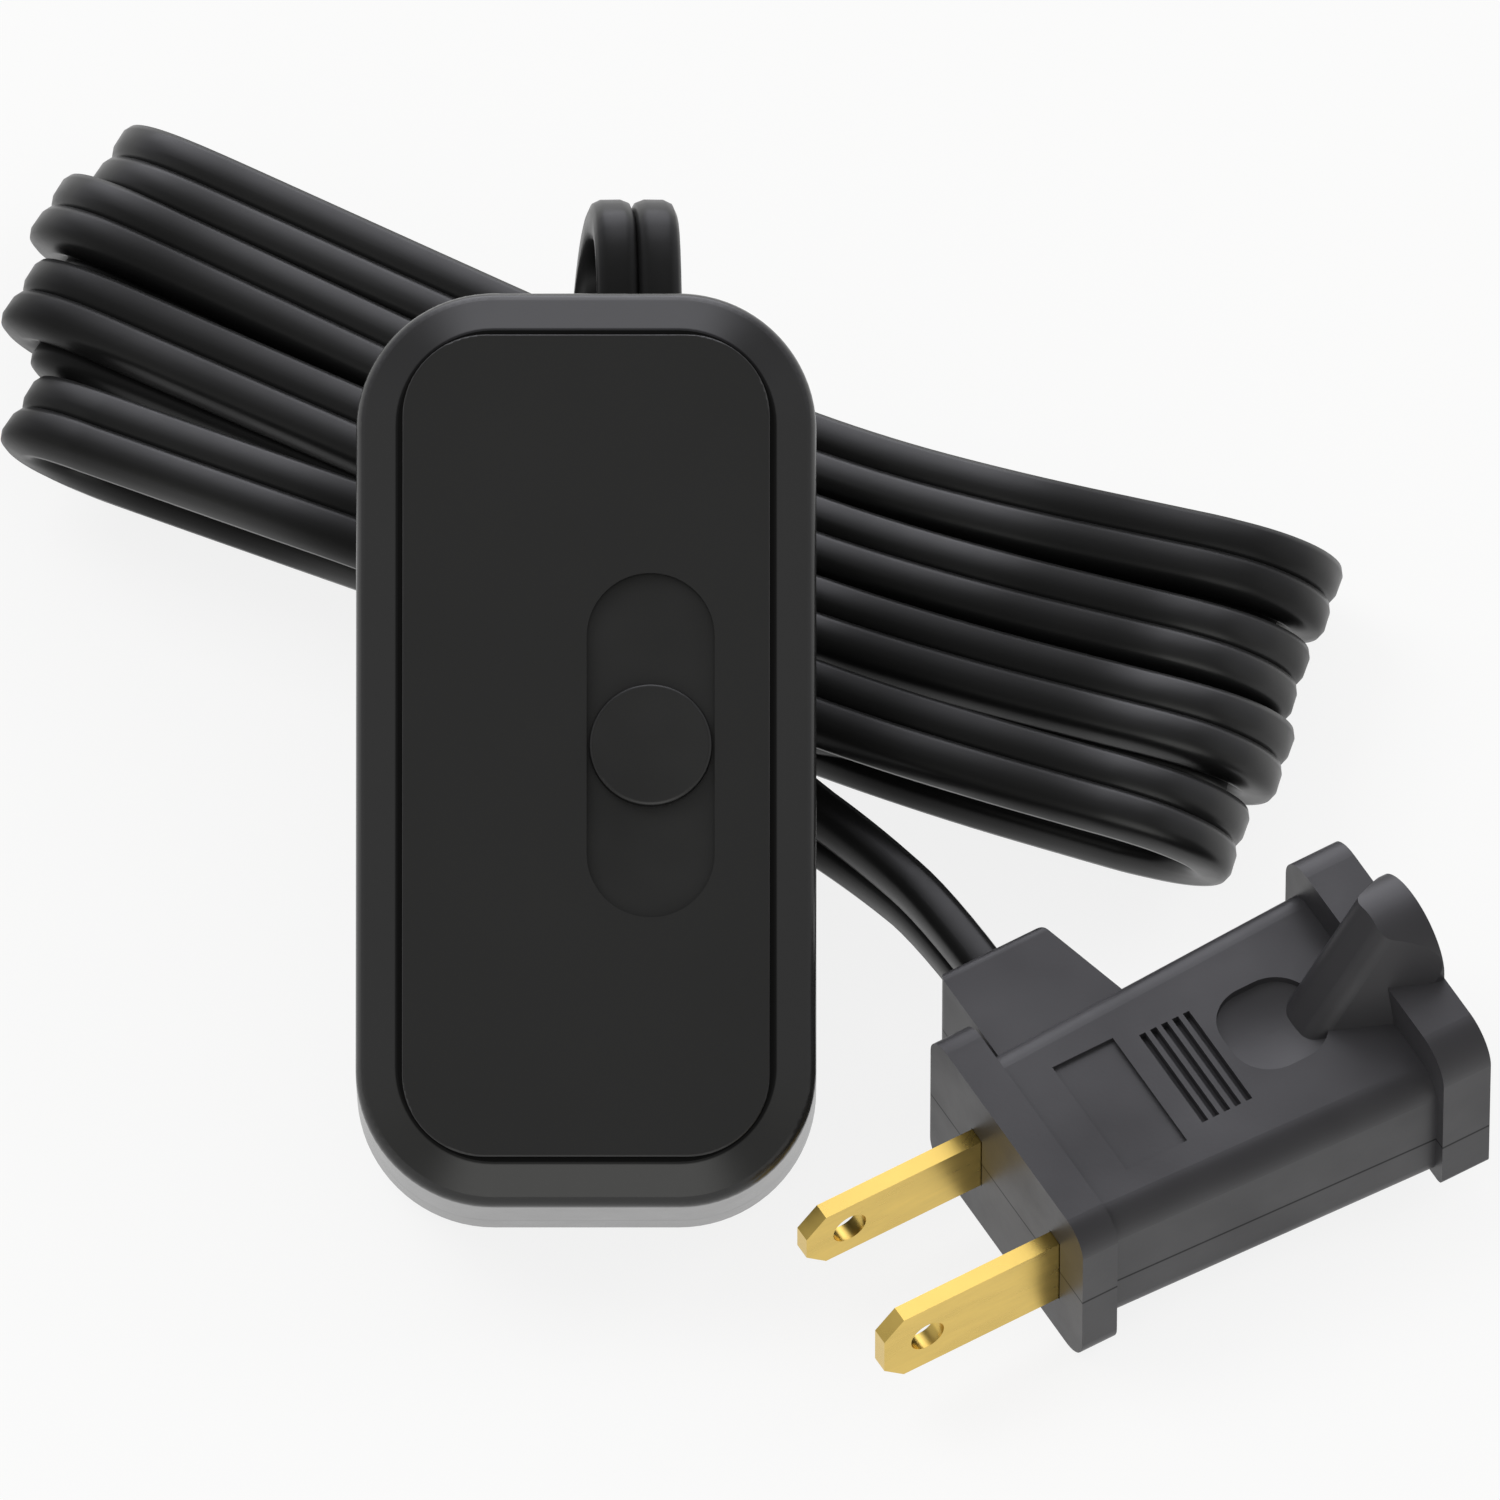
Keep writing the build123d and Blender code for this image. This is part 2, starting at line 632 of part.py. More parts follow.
# Two screws that hold the case halves together
with BuildPart() as case_screws:
    with BuildSketch(case.offset(SCREW_RECESS)):
        with Locations((BOSS_SIDE, -boss_reach), (BOSS_SIDE, boss_reach)):
            Circle(SCREW_HEAD_RADIUS)
    extrude(amount=SCREW_HEAD_HEIGHT)
    with BuildSketch(case.offset(SCREW_RECESS + SCREW_HEAD_HEIGHT)):
        with Locations((BOSS_SIDE, -boss_reach), (BOSS_SIDE, boss_reach)):
            Circle(SCREW_RADIUS)
    extrude(amount=SCREW_LENGTH)
case_screws.part.label = "case_screws"
export_step(case_screws.part, "parts/case_screws.step")

# Stripped ends of the two conductors on the board
wire_plane = Plane(
    origin=case.from_local_coords((CORD_OFFSET, CASE_LENGTH / 2 - CORD_INSIDE, board_top + WIRE_RADIUS)),
    x_dir=case.x_dir,
    z_dir=-case.y_dir,
)
with BuildPart() as case_wires:
    with BuildSketch(wire_plane):
        with GridLocations(2 * WIRE_SPREAD, 0, 2, 1):
            Circle(WIRE_RADIUS)
    extrude(amount=WIRE_LENGTH)
case_wires.part.label = "case_wires"
export_step(case_wires.part, "parts/case_wires.step")

# Moulded form of the plug before it is parted into two halves
body_height = BODY_TOP - BODY_BOTTOM
body_rise = (BODY_TOP + BODY_BOTTOM) / 2 - blade_height
back_start = PLUG_LENGTH - BACK_THICKNESS
back_rise = (BACK_TOP + BACK_BOTTOM) / 2 - blade_height
lug_front = PLUG_LENGTH - LUG_LENGTH
lug_flare = lug_front + LUG_FLARE
lug_root = BODY_TOP - BODY_CORNER
arm_height = (ARM_TOP + ARM_BOTTOM) / 2
arm_middle = ARM_START + ARM_END_WIDTH / 2
towards_arm = Axis(plug.origin, plug.y_dir)
arm_end = Plane(
    origin=plug.from_local_coords((arm_middle, ARM_REACH, arm_height)),
    x_dir=(0, 0, 1),
    z_dir=plug.y_dir,
)

# Lug: an arch along the plug, cut to a bow that leans back from its narrow nose
lug_lean = plug.x_dir * LUG_LEAN + plug.z_dir * (LUG_TOP - lug_root)
with BuildPart() as pull_lug:
    with BuildSketch(plug_section(lug_front)):
        with Locations((0, LUG_TOP - LUG_WIDTH / 2 - blade_height)):
            Circle(LUG_WIDTH / 2)
            Rectangle(LUG_WIDTH, LUG_TOP - LUG_WIDTH / 2 - lug_root, align=(Align.CENTER, Align.MAX))
    extrude(amount=LUG_LENGTH)
    with BuildSketch(plug.offset(lug_root)):
        with BuildLine():
            Polyline(
                (lug_front, LUG_FRONT_WIDTH / 2),
                (lug_flare, LUG_WIDTH / 2),
                (PLUG_LENGTH, LUG_WIDTH / 2),
                (PLUG_LENGTH, -LUG_WIDTH / 2),
                (lug_flare, -LUG_WIDTH / 2),
                (lug_front, -LUG_FRONT_WIDTH / 2),
                close=True,
            )
        lug_plan = make_face()
        fillet(lug_plan.vertices().sort_by(Axis.X)[:2], LUG_NOSE)
    extrude(amount=lug_lean.length, dir=lug_lean.normalized(), mode=Mode.INTERSECT)

# Hollow for the thumb in front of the lug
with BuildPart() as thumb_hollow:
    with BuildSketch(plug.offset(BODY_TOP - THUMB_DEPTH)):
        with Locations((PLUG_LENGTH - THUMB_SETBACK, THUMB_SHIFT)):
            RectangleRounded(THUMB_LENGTH, THUMB_WIDTH, THUMB_CORNER)
    extrude(amount=2 * THUMB_DEPTH)
    thumb_rise = BODY_TOP + THUMB_RADIUS - THUMB_DEPTH
    with Locations(plug.location * Pos(PLUG_LENGTH - THUMB_SETBACK, THUMB_SHIFT, thumb_rise)):
        Sphere(THUMB_RADIUS, mode=Mode.INTERSECT)

with BuildPart() as plug_form:
    with BuildSketch(plug_section(0)):
        with Locations((FRONT_SHIFT, 0)):
            RectangleRounded(FRONT_WIDTH, PLUG_HEIGHT, FRONT_CORNER)
    extrude(amount=FRONT_THICKNESS)
    with BuildSketch(plug_section(back_start)) as back_face:
        with Locations((0, back_rise)):
            Rectangle(BACK_WIDTH, BACK_TOP - BACK_BOTTOM)
        fillet(back_face.vertices().group_by(Axis.Y)[-1], BACK_CORNER)
        fillet(back_face.vertices().group_by(Axis.Y)[0], BACK_FOOT)
    extrude(amount=BACK_THICKNESS)
    with BuildSketch(plug_section(FRONT_THICKNESS)):
        with Locations((0, body_rise)):
            RectangleRounded(BODY_FRONT_WIDTH, body_height, BODY_CORNER)
    with BuildSketch(plug_section(back_start)):
        with Locations((0, body_rise)):
            RectangleRounded(BODY_BACK_WIDTH, body_height, BODY_CORNER)
    loft()
    # Arm that the cord enters
    with BuildSketch(plug.offset(ARM_BOTTOM)):
        with BuildLine():
            Polyline(
                (ARM_START, 0),
                (ARM_START, ARM_REACH),
                (ARM_START + ARM_END_WIDTH, ARM_REACH),
                (ARM_START + ARM_WIDTH, BODY_FRONT_WIDTH / 2),
                (ARM_START + ARM_WIDTH, 0),
                close=True,
            )
        make_face()
    extrude(amount=ARM_TOP - ARM_BOTTOM)
    arm_face = plug_form.faces().sort_by(towards_arm)[-1]
    fillet(arm_face.edges(), ARM_CORNER)
    # Thumb hollow, bare label recess and grip grooves on the top
    add(thumb_hollow.part, mode=Mode.SUBTRACT)
    with BuildSketch(plug.offset(BODY_TOP)):
        with Locations((LABEL_PLACE, 0)):
            Rectangle(LABEL_LENGTH, LABEL_WIDTH)
    extrude(amount=-LABEL_DEPTH, mode=Mode.SUBTRACT)
    with BuildSketch(plug.offset(BODY_TOP)):
        with Locations((GROOVE_PLACE, 0)):
            with GridLocations(GROOVE_PITCH, 0, GROOVE_COUNT, 1):
                Rectangle(GROOVE_WIDTH, GROOVE_LENGTH)
    extrude(amount=-GROOVE_DEPTH, mode=Mode.SUBTRACT)
    # Lug to pull the plug by
    add(pull_lug.part)

# What the two halves of the plug leave room for
narrow_side = BLADE_SPACING / 2
wide_side = -BLADE_SPACING / 2
pocket_length = PLUG_LENGTH - POCKET_END - FRONT_THICKNESS
with BuildPart() as plug_hollow:
    for side, width in ((narrow_side, NARROW_BLADE), (wide_side, WIDE_BLADE)):
        with BuildSketch(plug_section(FRONT_THICKNESS)):
            with Locations((side, 0)):
                Rectangle(POCKET_WIDTH, POCKET_HEIGHT)
        extrude(amount=pocket_length)
        with BuildSketch(plug_section(0)):
            with Locations((side, 0)):
                Rectangle(BLADE_THICKNESS + 2 * BLADE_GAP, width + 2 * BLADE_GAP)
        extrude(amount=FRONT_THICKNESS)
        with BuildSketch(plug_section(PLUG_LENGTH)):
            with Locations((side, 0)):
                Rectangle(SOCKET_WIDTH, width + 2 * SOCKET_SPARE)
        extrude(amount=-POCKET_END)
    # Passage of the cord and the room where its conductors part
    with BuildSketch(arm_end):
        SlotOverall(CORD_WIDTH + 2 * CORD_GAP, CORD_THICKNESS + 2 * CORD_GAP)
    extrude(amount=-PLUG_CORD_INSIDE)
    with BuildSketch(arm_end.offset(-PLUG_CORD_INSIDE)):
        Rectangle(CHAMBER_HEIGHT, CHAMBER_LENGTH)
    extrude(amount=-(ARM_REACH - PLUG_CORD_INSIDE - narrow_side))

with BuildPart() as plug_top_shell:
    add(plug_form.part)
    add(plug_hollow.part, mode=Mode.SUBTRACT)
    split(bisect_by=parting, keep=Keep.TOP)
plug_top_shell.part.label = "plug_top_shell"
export_step(plug_top_shell.part, "parts/plug_top_shell.step")

with BuildPart() as plug_bottom_shell:
    add(plug_form.part)
    add(plug_hollow.part, mode=Mode.SUBTRACT)
    split(bisect_by=parting, keep=Keep.BOTTOM)
plug_bottom_shell.part.label = "plug_bottom_shell"
export_step(plug_bottom_shell.part, "parts/plug_bottom_shell.step")

# Blades and contacts
shank_height = POCKET_HEIGHT - 2 * POCKET_GAP
contact_end = PLUG_LENGTH - CONTACT_SETBACK
contact_start = contact_end - CONTACT_LENGTH
leaf_offset = BLADE_THICKNESS / 2 + CONTACT_SPARE + CONTACT_LEAF / 2
contact_width = 2 * leaf_offset + CONTACT_LEAF


def blade_outline(width):
    """Blade in side view with its locking hole, from the tip to the back of the front flange."""
    with Locations((-BLADE_LENGTH, blade_height)):
        Rectangle(BLADE_LENGTH + FRONT_THICKNESS, width, align=(Align.MIN, Align.CENTER))
    with Locations((-BLADE_HOLE_REACH, blade_height)):
        Circle(BLADE_HOLE / 2, mode=Mode.SUBTRACT)


with BuildPart() as narrow_blade:
    with BuildSketch(plug_side(narrow_side)) as narrow_outline:
        blade_outline(NARROW_BLADE)
        chamfer(narrow_outline.vertices().group_by(Axis.X)[0], BLADE_TIP)
        with Locations((FRONT_THICKNESS + POCKET_GAP, blade_height)):
            Rectangle(SHOULDER_LENGTH, shank_height, align=(Align.MIN, Align.CENTER))
        with Locations((FRONT_THICKNESS, blade_height)):
            Rectangle(POCKET_GAP, NARROW_BLADE, align=(Align.MIN, Align.CENTER))
        with Locations((FRONT_THICKNESS, blade_height + shank_height / 2)):
            Rectangle(TONGUE_REACH - FRONT_THICKNESS, TONGUE_HEIGHT, align=(Align.MIN, Align.MAX))
    extrude(amount=BLADE_THICKNESS / 2, both=True)
narrow_blade.part.label = "narrow_blade"
export_step(narrow_blade.part, "parts/narrow_blade.step")

with BuildPart() as wide_blade:
    with BuildSketch(plug_side(wide_side)) as wide_outline:
        blade_outline(WIDE_BLADE)
        chamfer(wide_outline.vertices().group_by(Axis.X)[0], BLADE_TIP)
        with Locations((FRONT_THICKNESS, blade_height)):
            Rectangle(contact_start - FRONT_THICKNESS, shank_height, align=(Align.MIN, Align.CENTER))
    extrude(amount=BLADE_THICKNESS / 2, both=True)
    with BuildSketch(plug.offset(blade_height)):
        with Locations((contact_start, wide_side)):
            Rectangle(CONTACT_LEAF, contact_width, align=(Align.MIN, Align.CENTER))
        with Locations((contact_start, wide_side - leaf_offset), (contact_start, wide_side + leaf_offset)):
            Rectangle(CONTACT_LENGTH, CONTACT_LEAF, align=(Align.MIN, Align.CENTER))
    extrude(amount=shank_height / 2, both=True)
wide_blade.part.label = "wide_blade"
export_step(wide_blade.part, "parts/wide_blade.step")

with BuildPart() as hot_contact:
    with BuildSketch(plug.offset(blade_height)):
        with Locations((contact_start, narrow_side)):
            Rectangle(CONTACT_LEAF, contact_width, align=(Align.MIN, Align.CENTER))
        with Locations(
            (contact_start, narrow_side - leaf_offset), (contact_start, narrow_side + leaf_offset)
        ):
            Rectangle(CONTACT_LENGTH, CONTACT_LEAF, align=(Align.MIN, Align.CENTER))
    extrude(amount=shank_height / 2, both=True)
    with BuildSketch(plug_side(narrow_side)):
        with Locations((TAIL_REACH, blade_height - shank_height / 2)):
            Rectangle(contact_start - TAIL_REACH, TAIL_HEIGHT, align=(Align.MIN, Align.MIN))
    extrude(amount=BLADE_THICKNESS / 2, both=True)
hot_contact.part.label = "hot_contact"
export_step(hot_contact.part, "parts/hot_contact.step")

# Conductors that join the blade and the contact inside the plug
plug_wire_start = PLUG_CORD_INSIDE + PLUG_WIRE_GAP
plug_wire_length = ARM_REACH - plug_wire_start - narrow_side - BLADE_THICKNESS / 2
with BuildPart() as plug_wires:
    with BuildSketch(arm_end.offset(-plug_wire_start)):
        with GridLocations(2 * WIRE_SPREAD, 0, 2, 1):
            Circle(PLUG_WIRE_RADIUS)
    extrude(amount=-plug_wire_length)
plug_wires.part.label = "plug_wires"
export_step(plug_wires.part, "parts/plug_wires.step")

# Hank: leaning loops of the cord, as one closed solid of their outer shape
chord = Vector(*HANK_RIGHT, 0) - Vector(*HANK_LEFT, 0)
across = Vector(0, 0, 1).cross(chord.normalized())
lean = Vector(0, 0, HANK_HEIGHT) - across * HANK_LEAN
hank_foot = Plane(origin=across * HANK_LEAN, x_dir=(1, 0, 0), z_dir=(0, 0, 1))
hank_middle = (Vector(*HANK_RIGHT, HANK_HEIGHT) + Vector(*HANK_LEFT, HANK_HEIGHT)) / 2 - lean / 2
with BuildPart() as cord_hank:
    with BuildSketch(hank_foot):
        with BuildLine():
            FilletPolyline(HANK_LEFT, HANK_KNEE, HANK_RIGHT, radius=HANK_BEND)
        trace(line_width=HANK_WIDTH)
    extrude(amount=lean.length, dir=lean)
    with BuildSketch(Plane(origin=hank_middle, x_dir=chord, z_dir=chord.cross(lean))):
        SlotOverall(chord.length, lean.length)
    extrude(amount=HANK_WIDTH, dir=across, both=True, mode=Mode.INTERSECT)
cord_hank.part.label = "cord_hank"
export_step(cord_hank.part, "parts/cord_hank.step")

# Loose runs of the cord, as plain tubes as thick as the cord
exit_route = [
    case.from_local_coords((CORD_OFFSET, CASE_LENGTH / 2 - CORD_INSIDE, cord_height)),
    case.from_local_coords((CORD_OFFSET, CASE_LENGTH / 2 + EXIT_RUN, cord_height)),
    *EXIT_BEND,
]
lead_route = [
    plug.from_local_coords((arm_middle, ARM_REACH - PLUG_CORD_INSIDE, arm_height)),
    plug.from_local_coords((arm_middle, ARM_REACH + LEAD_RUN, arm_height)),
    *LEAD_BEND,
]
for route, name in ((exit_route, "cord_exit"), (lead_route, "cord_lead")):
    radii = cord_radii(route)
    print(name, "radii", [round(r, 1) for r in radii])
    with BuildPart() as cord_run:
        with BuildLine():
            cord_path = FilletPolyline(*route, radius=radii)
        start = Vector(route[0])
        with BuildSketch(Plane(origin=start, z_dir=Vector(route[1]) - start)):
            Circle(CORD_THICKNESS / 2)
        sweep(path=cord_path)
    length = cord_path.length
    section = math.pi * CORD_THICKNESS ** 2 / 4
    ratio = cord_run.part.volume / section / length
    print(name, "length", round(length, 1), "volume ratio", round(ratio, 4))
    cord_run.part.label = name
    export_step(cord_run.part, f"parts/{name}.step")
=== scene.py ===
"""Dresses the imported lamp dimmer: its moulded finishes, wound flat cord, plug and stage."""

import math

import bmesh
import bpy
from bpy.props import FloatProperty, FloatVectorProperty, PointerProperty
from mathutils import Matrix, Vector


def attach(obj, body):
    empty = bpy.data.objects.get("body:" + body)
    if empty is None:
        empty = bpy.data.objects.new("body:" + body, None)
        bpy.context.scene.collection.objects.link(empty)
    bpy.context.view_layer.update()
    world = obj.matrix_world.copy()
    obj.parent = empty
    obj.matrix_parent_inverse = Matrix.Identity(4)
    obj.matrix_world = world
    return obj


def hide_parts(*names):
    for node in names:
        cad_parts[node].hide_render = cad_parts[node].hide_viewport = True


bl_info = {
    "name": "Lamp Slide Dimmer",
    "version": (1, 0, 0),
    "blender": (4, 5, 0),
    "location": "View3D > Sidebar > Dimmer",
    "description": "Dresses a plug-in lamp dimmer with its flat cord and piggyback plug",
    "category": "Object",
}

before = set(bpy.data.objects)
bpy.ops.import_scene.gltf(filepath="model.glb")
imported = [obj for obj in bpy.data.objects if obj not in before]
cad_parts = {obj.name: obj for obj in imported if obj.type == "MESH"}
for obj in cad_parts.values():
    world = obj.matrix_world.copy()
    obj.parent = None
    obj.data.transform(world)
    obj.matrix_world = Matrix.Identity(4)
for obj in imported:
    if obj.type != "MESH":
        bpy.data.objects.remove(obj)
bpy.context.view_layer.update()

# The case leans by this much, and its underside has its middle here, in metres
CASE_LEAN = math.radians(28.0)
CASE_UP = Vector((0.0, -math.sin(CASE_LEAN), math.cos(CASE_LEAN)))
CASE_MIDDLE = Vector((0.0, 0.003877, 0.017793))

# Heights above the case's underside: joint of the halves, groove round the panel and foot of the knob,
# both with painted shade, and the band in which the polished rim gives way to the satin panel
CASE_SEAM = 0.0060
PANEL_SHADE_HEIGHT = 0.0186
KNOB_SHADE_HEIGHT = 0.0190
PANEL_EDGE = (0.01872, 0.01890)

# Height of the joint of the plug's halves above the floor
PLUG_SEAM = 0.0090

# Half the width of a dark joint line and of a painted shade line, also of the painted shade at the
# knob's foot, and the share of light left in these lines
JOINT_AND_SHADE_HALF = 0.00008
KNOB_SHADE_HALF = 0.00016
LINE_LIGHT = 0.25

# Specular level of the mouldings, how far it wanders over them, and its range on the cord
CASE_SPECULAR = 0.42
PLUG_SPECULAR = 0.45
INSIDE_SPECULAR = 0.5
SPECULAR_SWING = 0.12
CORD_SPECULAR = (0.08, 0.36)

# Depth of the fine grain, and of the grain on the cord, in metres
GRAIN_DEPTH = 0.00002
CORD_GRAIN_DEPTH = 0.00003

# Sockets of a mix node: factor and two values, two colours, and the blended colour
MIX_VALUES = (0, 2, 3)
MIX_COLOURS = (6, 7)
MIX_COLOUR = 2

# Where the cord leaves the case, and its route outside the hank
CASE_RUN = (
    (0.00450, 0.02490, 0.03577),
    (0.00450, 0.03903, 0.04328),
    (0.00380, 0.04620, 0.03980),
    (0.00280, 0.04800, 0.03100),
    (0.00200, 0.04360, 0.02360),
    (0.00240, 0.03680, 0.02120),
    (0.00300, 0.02900, 0.02060),
    (0.00550, 0.02200, 0.02000),
    (0.00950, 0.01780, 0.01800),
)
PLUG_RUN = (
    (-0.00800, 0.02380, 0.01460),
    (0.00000, 0.01980, 0.01120),
    (0.00800, 0.01520, 0.00860),
    (0.01600, 0.00800, 0.00820),
    (0.02350, 0.00100, 0.00920),
    (0.03003, -0.00690, 0.01070),
    (0.03667, -0.01808, 0.01070),
)

# Plan of the middle of the hank's top, from its left end over the knee to its right end
HANK_LEFT = Vector((-0.0480, 0.0584))
HANK_KNEE = Vector((0.0215, 0.0212))
HANK_RIGHT = Vector((0.0600, 0.0104))
HANK_SOFTNESS = 0.013
HANK_HEIGHT = 0.0183
HANK_LEAN = 0.0084
HANK_SLANT = math.hypot(HANK_HEIGHT, HANK_LEAN)
# Distance of the outer and of the inner passes from the middle of the hank's slanted height
OUTER_LEVEL = 0.0080
INNER_LEVEL = 0.0039

# Columns of the hank from the near one to the far one: rest place across, what the loose
# ends add to it on the left and on the right, and the length over which they fan out
COLUMNS = (-0.01125, -0.00375, 0.00375, 0.01125)
LEFT_FAN = (-0.0036, 0.0000, 0.0014, 0.0008)
RIGHT_FAN = (-0.0020, -0.0004, 0.0004, 0.0018)
FAN_REACH = 0.060

# How far each outer loop stops short of the hank's left and right end, how much shorter the
# inner loops are, and how far they lie nearer, as a share of a column
LEFT_ENDS = (0.0075, 0.0011, -0.0010, 0.0011)
RIGHT_ENDS = (0.0044, 0.0030, 0.0040, 0.0036)
NEST = 0.0042
NEST_SHIFT = 0.22

# How far the straight passes stop short of the hank's left and right end
LEFT_FOOT = 0.0150
RIGHT_FOOT = 0.0145

# Where the cord comes into the hank from the case, and where it leaves it for the plug
HANK_START = 0.074
HANK_LEAVE = 0.045

# Part of a pass in which it moves to another column
LATE_MOVE = (0.62, 1.0)
MIDDLE_MOVE = (0.35, 0.65)
EARLY_MOVE = (0.0, 0.38)

# Section of a conductor: power that squares it, steps round it, and the angle of a sharp edge
SECTION_POWER = 0.6
SECTION_STEPS = 11
SHARP_ANGLE = math.radians(70)

# Steps of the cord's line from one control point to the next, and the order of its spline
LINE_STEPS = 8
LINE_ORDER = 3

# Half the floor's width, its depth under the object, its colour and how far it shows plain white
FLOOR_REACH = 3.0
FLOOR_DEPTH = 0.0002
FLOOR_COLOUR = (0.9, 0.9, 0.9, 1.0)
FLOOR_GLOW = 0.85

# Soft lights: offset from the aim, size in metres, and share of the key light's power
LIGHTS = {
    "key": ((-0.7, 0.25, 1.1), 0.7, 1.0),
    "side": ((1.0, 0.4, 0.7), 0.6, 0.6),
}

# Parts of a reflection's direction over which the studio's glows and tint come or go
BACK_RISE = (0.25, 0.85)
FRONT_FALL = (-1.0, -0.55)
SIDE_RISE = (0.45, 0.9)
MIDDLE_FADE = (0.15, 0.6)
MIDDLE_LEFT = 0.25
TINT_RISE = (-0.6, 0.6)
WARM_TINT = (1.0, 1.0, 0.97)
COOL_TINT = (0.98, 0.98, 1.05)


class DimmerFinishes(bpy.types.PropertyGroup):
    """Colours and gloss of the dimmer, its cord and its plug"""

    case_colour: FloatVectorProperty(
        name="Case", description="Moulded colour of the case", subtype="COLOR",
        size=3, default=(0.0168, 0.0168, 0.0168), min=0.0, max=1.0,
    )
    panel_roughness: FloatProperty(
        name="Panel roughness", description="Satin of the flat panel", subtype="FACTOR",
        default=0.36, min=0.0, max=1.0,
    )
    rim_roughness: FloatProperty(
        name="Rim roughness", description="Polish of the bevelled rim", subtype="FACTOR",
        default=0.2, min=0.0, max=1.0,
    )
    cord_colour: FloatVectorProperty(
        name="Cord", description="Colour of the cord's jacket", subtype="COLOR",
        size=3, default=(0.0125, 0.0125, 0.0127), min=0.0, max=1.0,
    )
    cord_roughness: FloatProperty(
        name="Cord roughness", description="Satin of the cord's jacket", subtype="FACTOR",
        default=0.34, min=0.0, max=1.0,
    )
    plug_colour: FloatVectorProperty(
        name="Plug", description="Moulded colour of the plug", subtype="COLOR",
        size=3, default=(0.040, 0.039, 0.043), min=0.0, max=1.0,
    )
    plug_roughness: FloatProperty(
        name="Plug roughness", description="Satin of the moulded plug", subtype="FACTOR",
        default=0.42, min=0.0, max=1.0,
    )
    brass_colour: FloatVectorProperty(
        name="Brass", description="Colour of the blades", subtype="COLOR",
        size=3, default=(0.80, 0.57, 0.15), min=0.0, max=1.0,
    )


class DimmerCord(bpy.types.PropertyGroup):
    """Sizes of the flat cord"""

    width: FloatProperty(
        name="Width", description="Width of the flat cord over both conductors",
        subtype="DISTANCE", unit="LENGTH", default=0.0072, min=0.004, max=0.012,
    )
    thickness: FloatProperty(
        name="Thickness", description="Thickness of one insulated conductor",
        subtype="DISTANCE", unit="LENGTH", default=0.0037, min=0.002, max=0.006,
    )


class DimmerStage(bpy.types.PropertyGroup):
    """Camera and light"""

    elevation: FloatProperty(
        name="Elevation", description="Height of the camera above the floor's plane",
        subtype="ANGLE", unit="ROTATION", default=math.radians(55.0),
    )
    distance: FloatProperty(
        name="Distance", description="Distance of the camera from the object",
        subtype="DISTANCE", unit="LENGTH", default=4.0, min=0.3, max=10.0,
    )
    frame_width: FloatProperty(
        name="Frame width", description="Width of the picture at the object",
        subtype="DISTANCE", unit="LENGTH", default=0.12605, min=0.05, max=1.0,
    )
    aim: FloatVectorProperty(
        name="Aim", description="Point in the middle of the picture",
        subtype="TRANSLATION", unit="LENGTH", size=3, default=(0.0137, 0.00815, 0.015),
    )
    key_power: FloatProperty(
        name="Key light", description="Power of the large soft light", unit="POWER",
        default=5.0, min=0.0, max=100.0,
    )
    ambient: FloatProperty(
        name="Ambient", description="Strength of the light from all around", default=0.55,
        min=0.0, max=2.0,
    )
    overhead_glow: FloatProperty(
        name="Overhead glow", description="Brightness that reflections show above the object",
        default=0.34, min=0.0, max=5.0,
    )
    back_glow: FloatProperty(
        name="Back glow", description="Brightness that reflections show behind the object",
        default=2.8, min=0.0, max=5.0,
    )
    front_glow: FloatProperty(
        name="Front glow", description="Brightness that reflections show low in front of the object",
        default=1.6, min=0.0, max=5.0,
    )
    side_glow: FloatProperty(
        name="Side glow", description="Brightness that reflections show at the object's sides",
        default=0.5, min=0.0, max=5.0,
    )


def shader_nodes(name):
    """New material with an emptied tree that ends in one principled shader"""
    material = bpy.data.materials.new(name)
    material.use_nodes = True
    tree = material.node_tree
    tree.nodes.clear()
    output = tree.nodes.new("ShaderNodeOutputMaterial")
    shader = tree.nodes.new("ShaderNodeBsdfPrincipled")
    tree.links.new(shader.outputs["BSDF"], output.inputs["Surface"])
    return material, tree, shader


def object_space(tree):
    """Coordinates that stay with the piece, in metres"""
    return tree.nodes.new("ShaderNodeTexCoord").outputs["Object"]


def noise(tree, scale, detail=2.0, roughness=0.5, stretch=None):
    """Noise value socket at the given scale, stretched along the axes where asked"""
    field = tree.nodes.new("ShaderNodeTexNoise")
    field.inputs["Scale"].default_value = scale
    field.inputs["Detail"].default_value = detail
    field.inputs["Roughness"].default_value = roughness
    place = object_space(tree)
    if stretch is not None:
        mapping = tree.nodes.new("ShaderNodeMapping")
        mapping.inputs["Scale"].default_value = stretch
        tree.links.new(place, mapping.inputs["Vector"])
        place = mapping.outputs["Vector"]
    tree.links.new(place, field.inputs["Vector"])
    return field.outputs["Fac"]


def spread(tree, value, low, high, start=0.0, end=1.0, smooth=False):
    """Value mapped from start..end to low..high"""
    node = tree.nodes.new("ShaderNodeMapRange")
    node.interpolation_type = "SMOOTHSTEP" if smooth else "LINEAR"
    node.inputs["From Min"].default_value = start
    node.inputs["From Max"].default_value = end
    node.inputs["To Min"].default_value = low
    node.inputs["To Max"].default_value = high
    tree.links.new(value, node.inputs["Value"])
    return node.outputs["Result"]


def blend_colour(tree, factor, first, second):
    """Colour socket that goes from first to second"""
    node = tree.nodes.new("ShaderNodeMix")
    node.data_type = "RGBA"
    for place, colour in zip(MIX_COLOURS, (first, second)):
        node.inputs[place].default_value = (*colour, 1.0)
    tree.links.new(factor, node.inputs[0])
    return node.outputs[MIX_COLOUR]


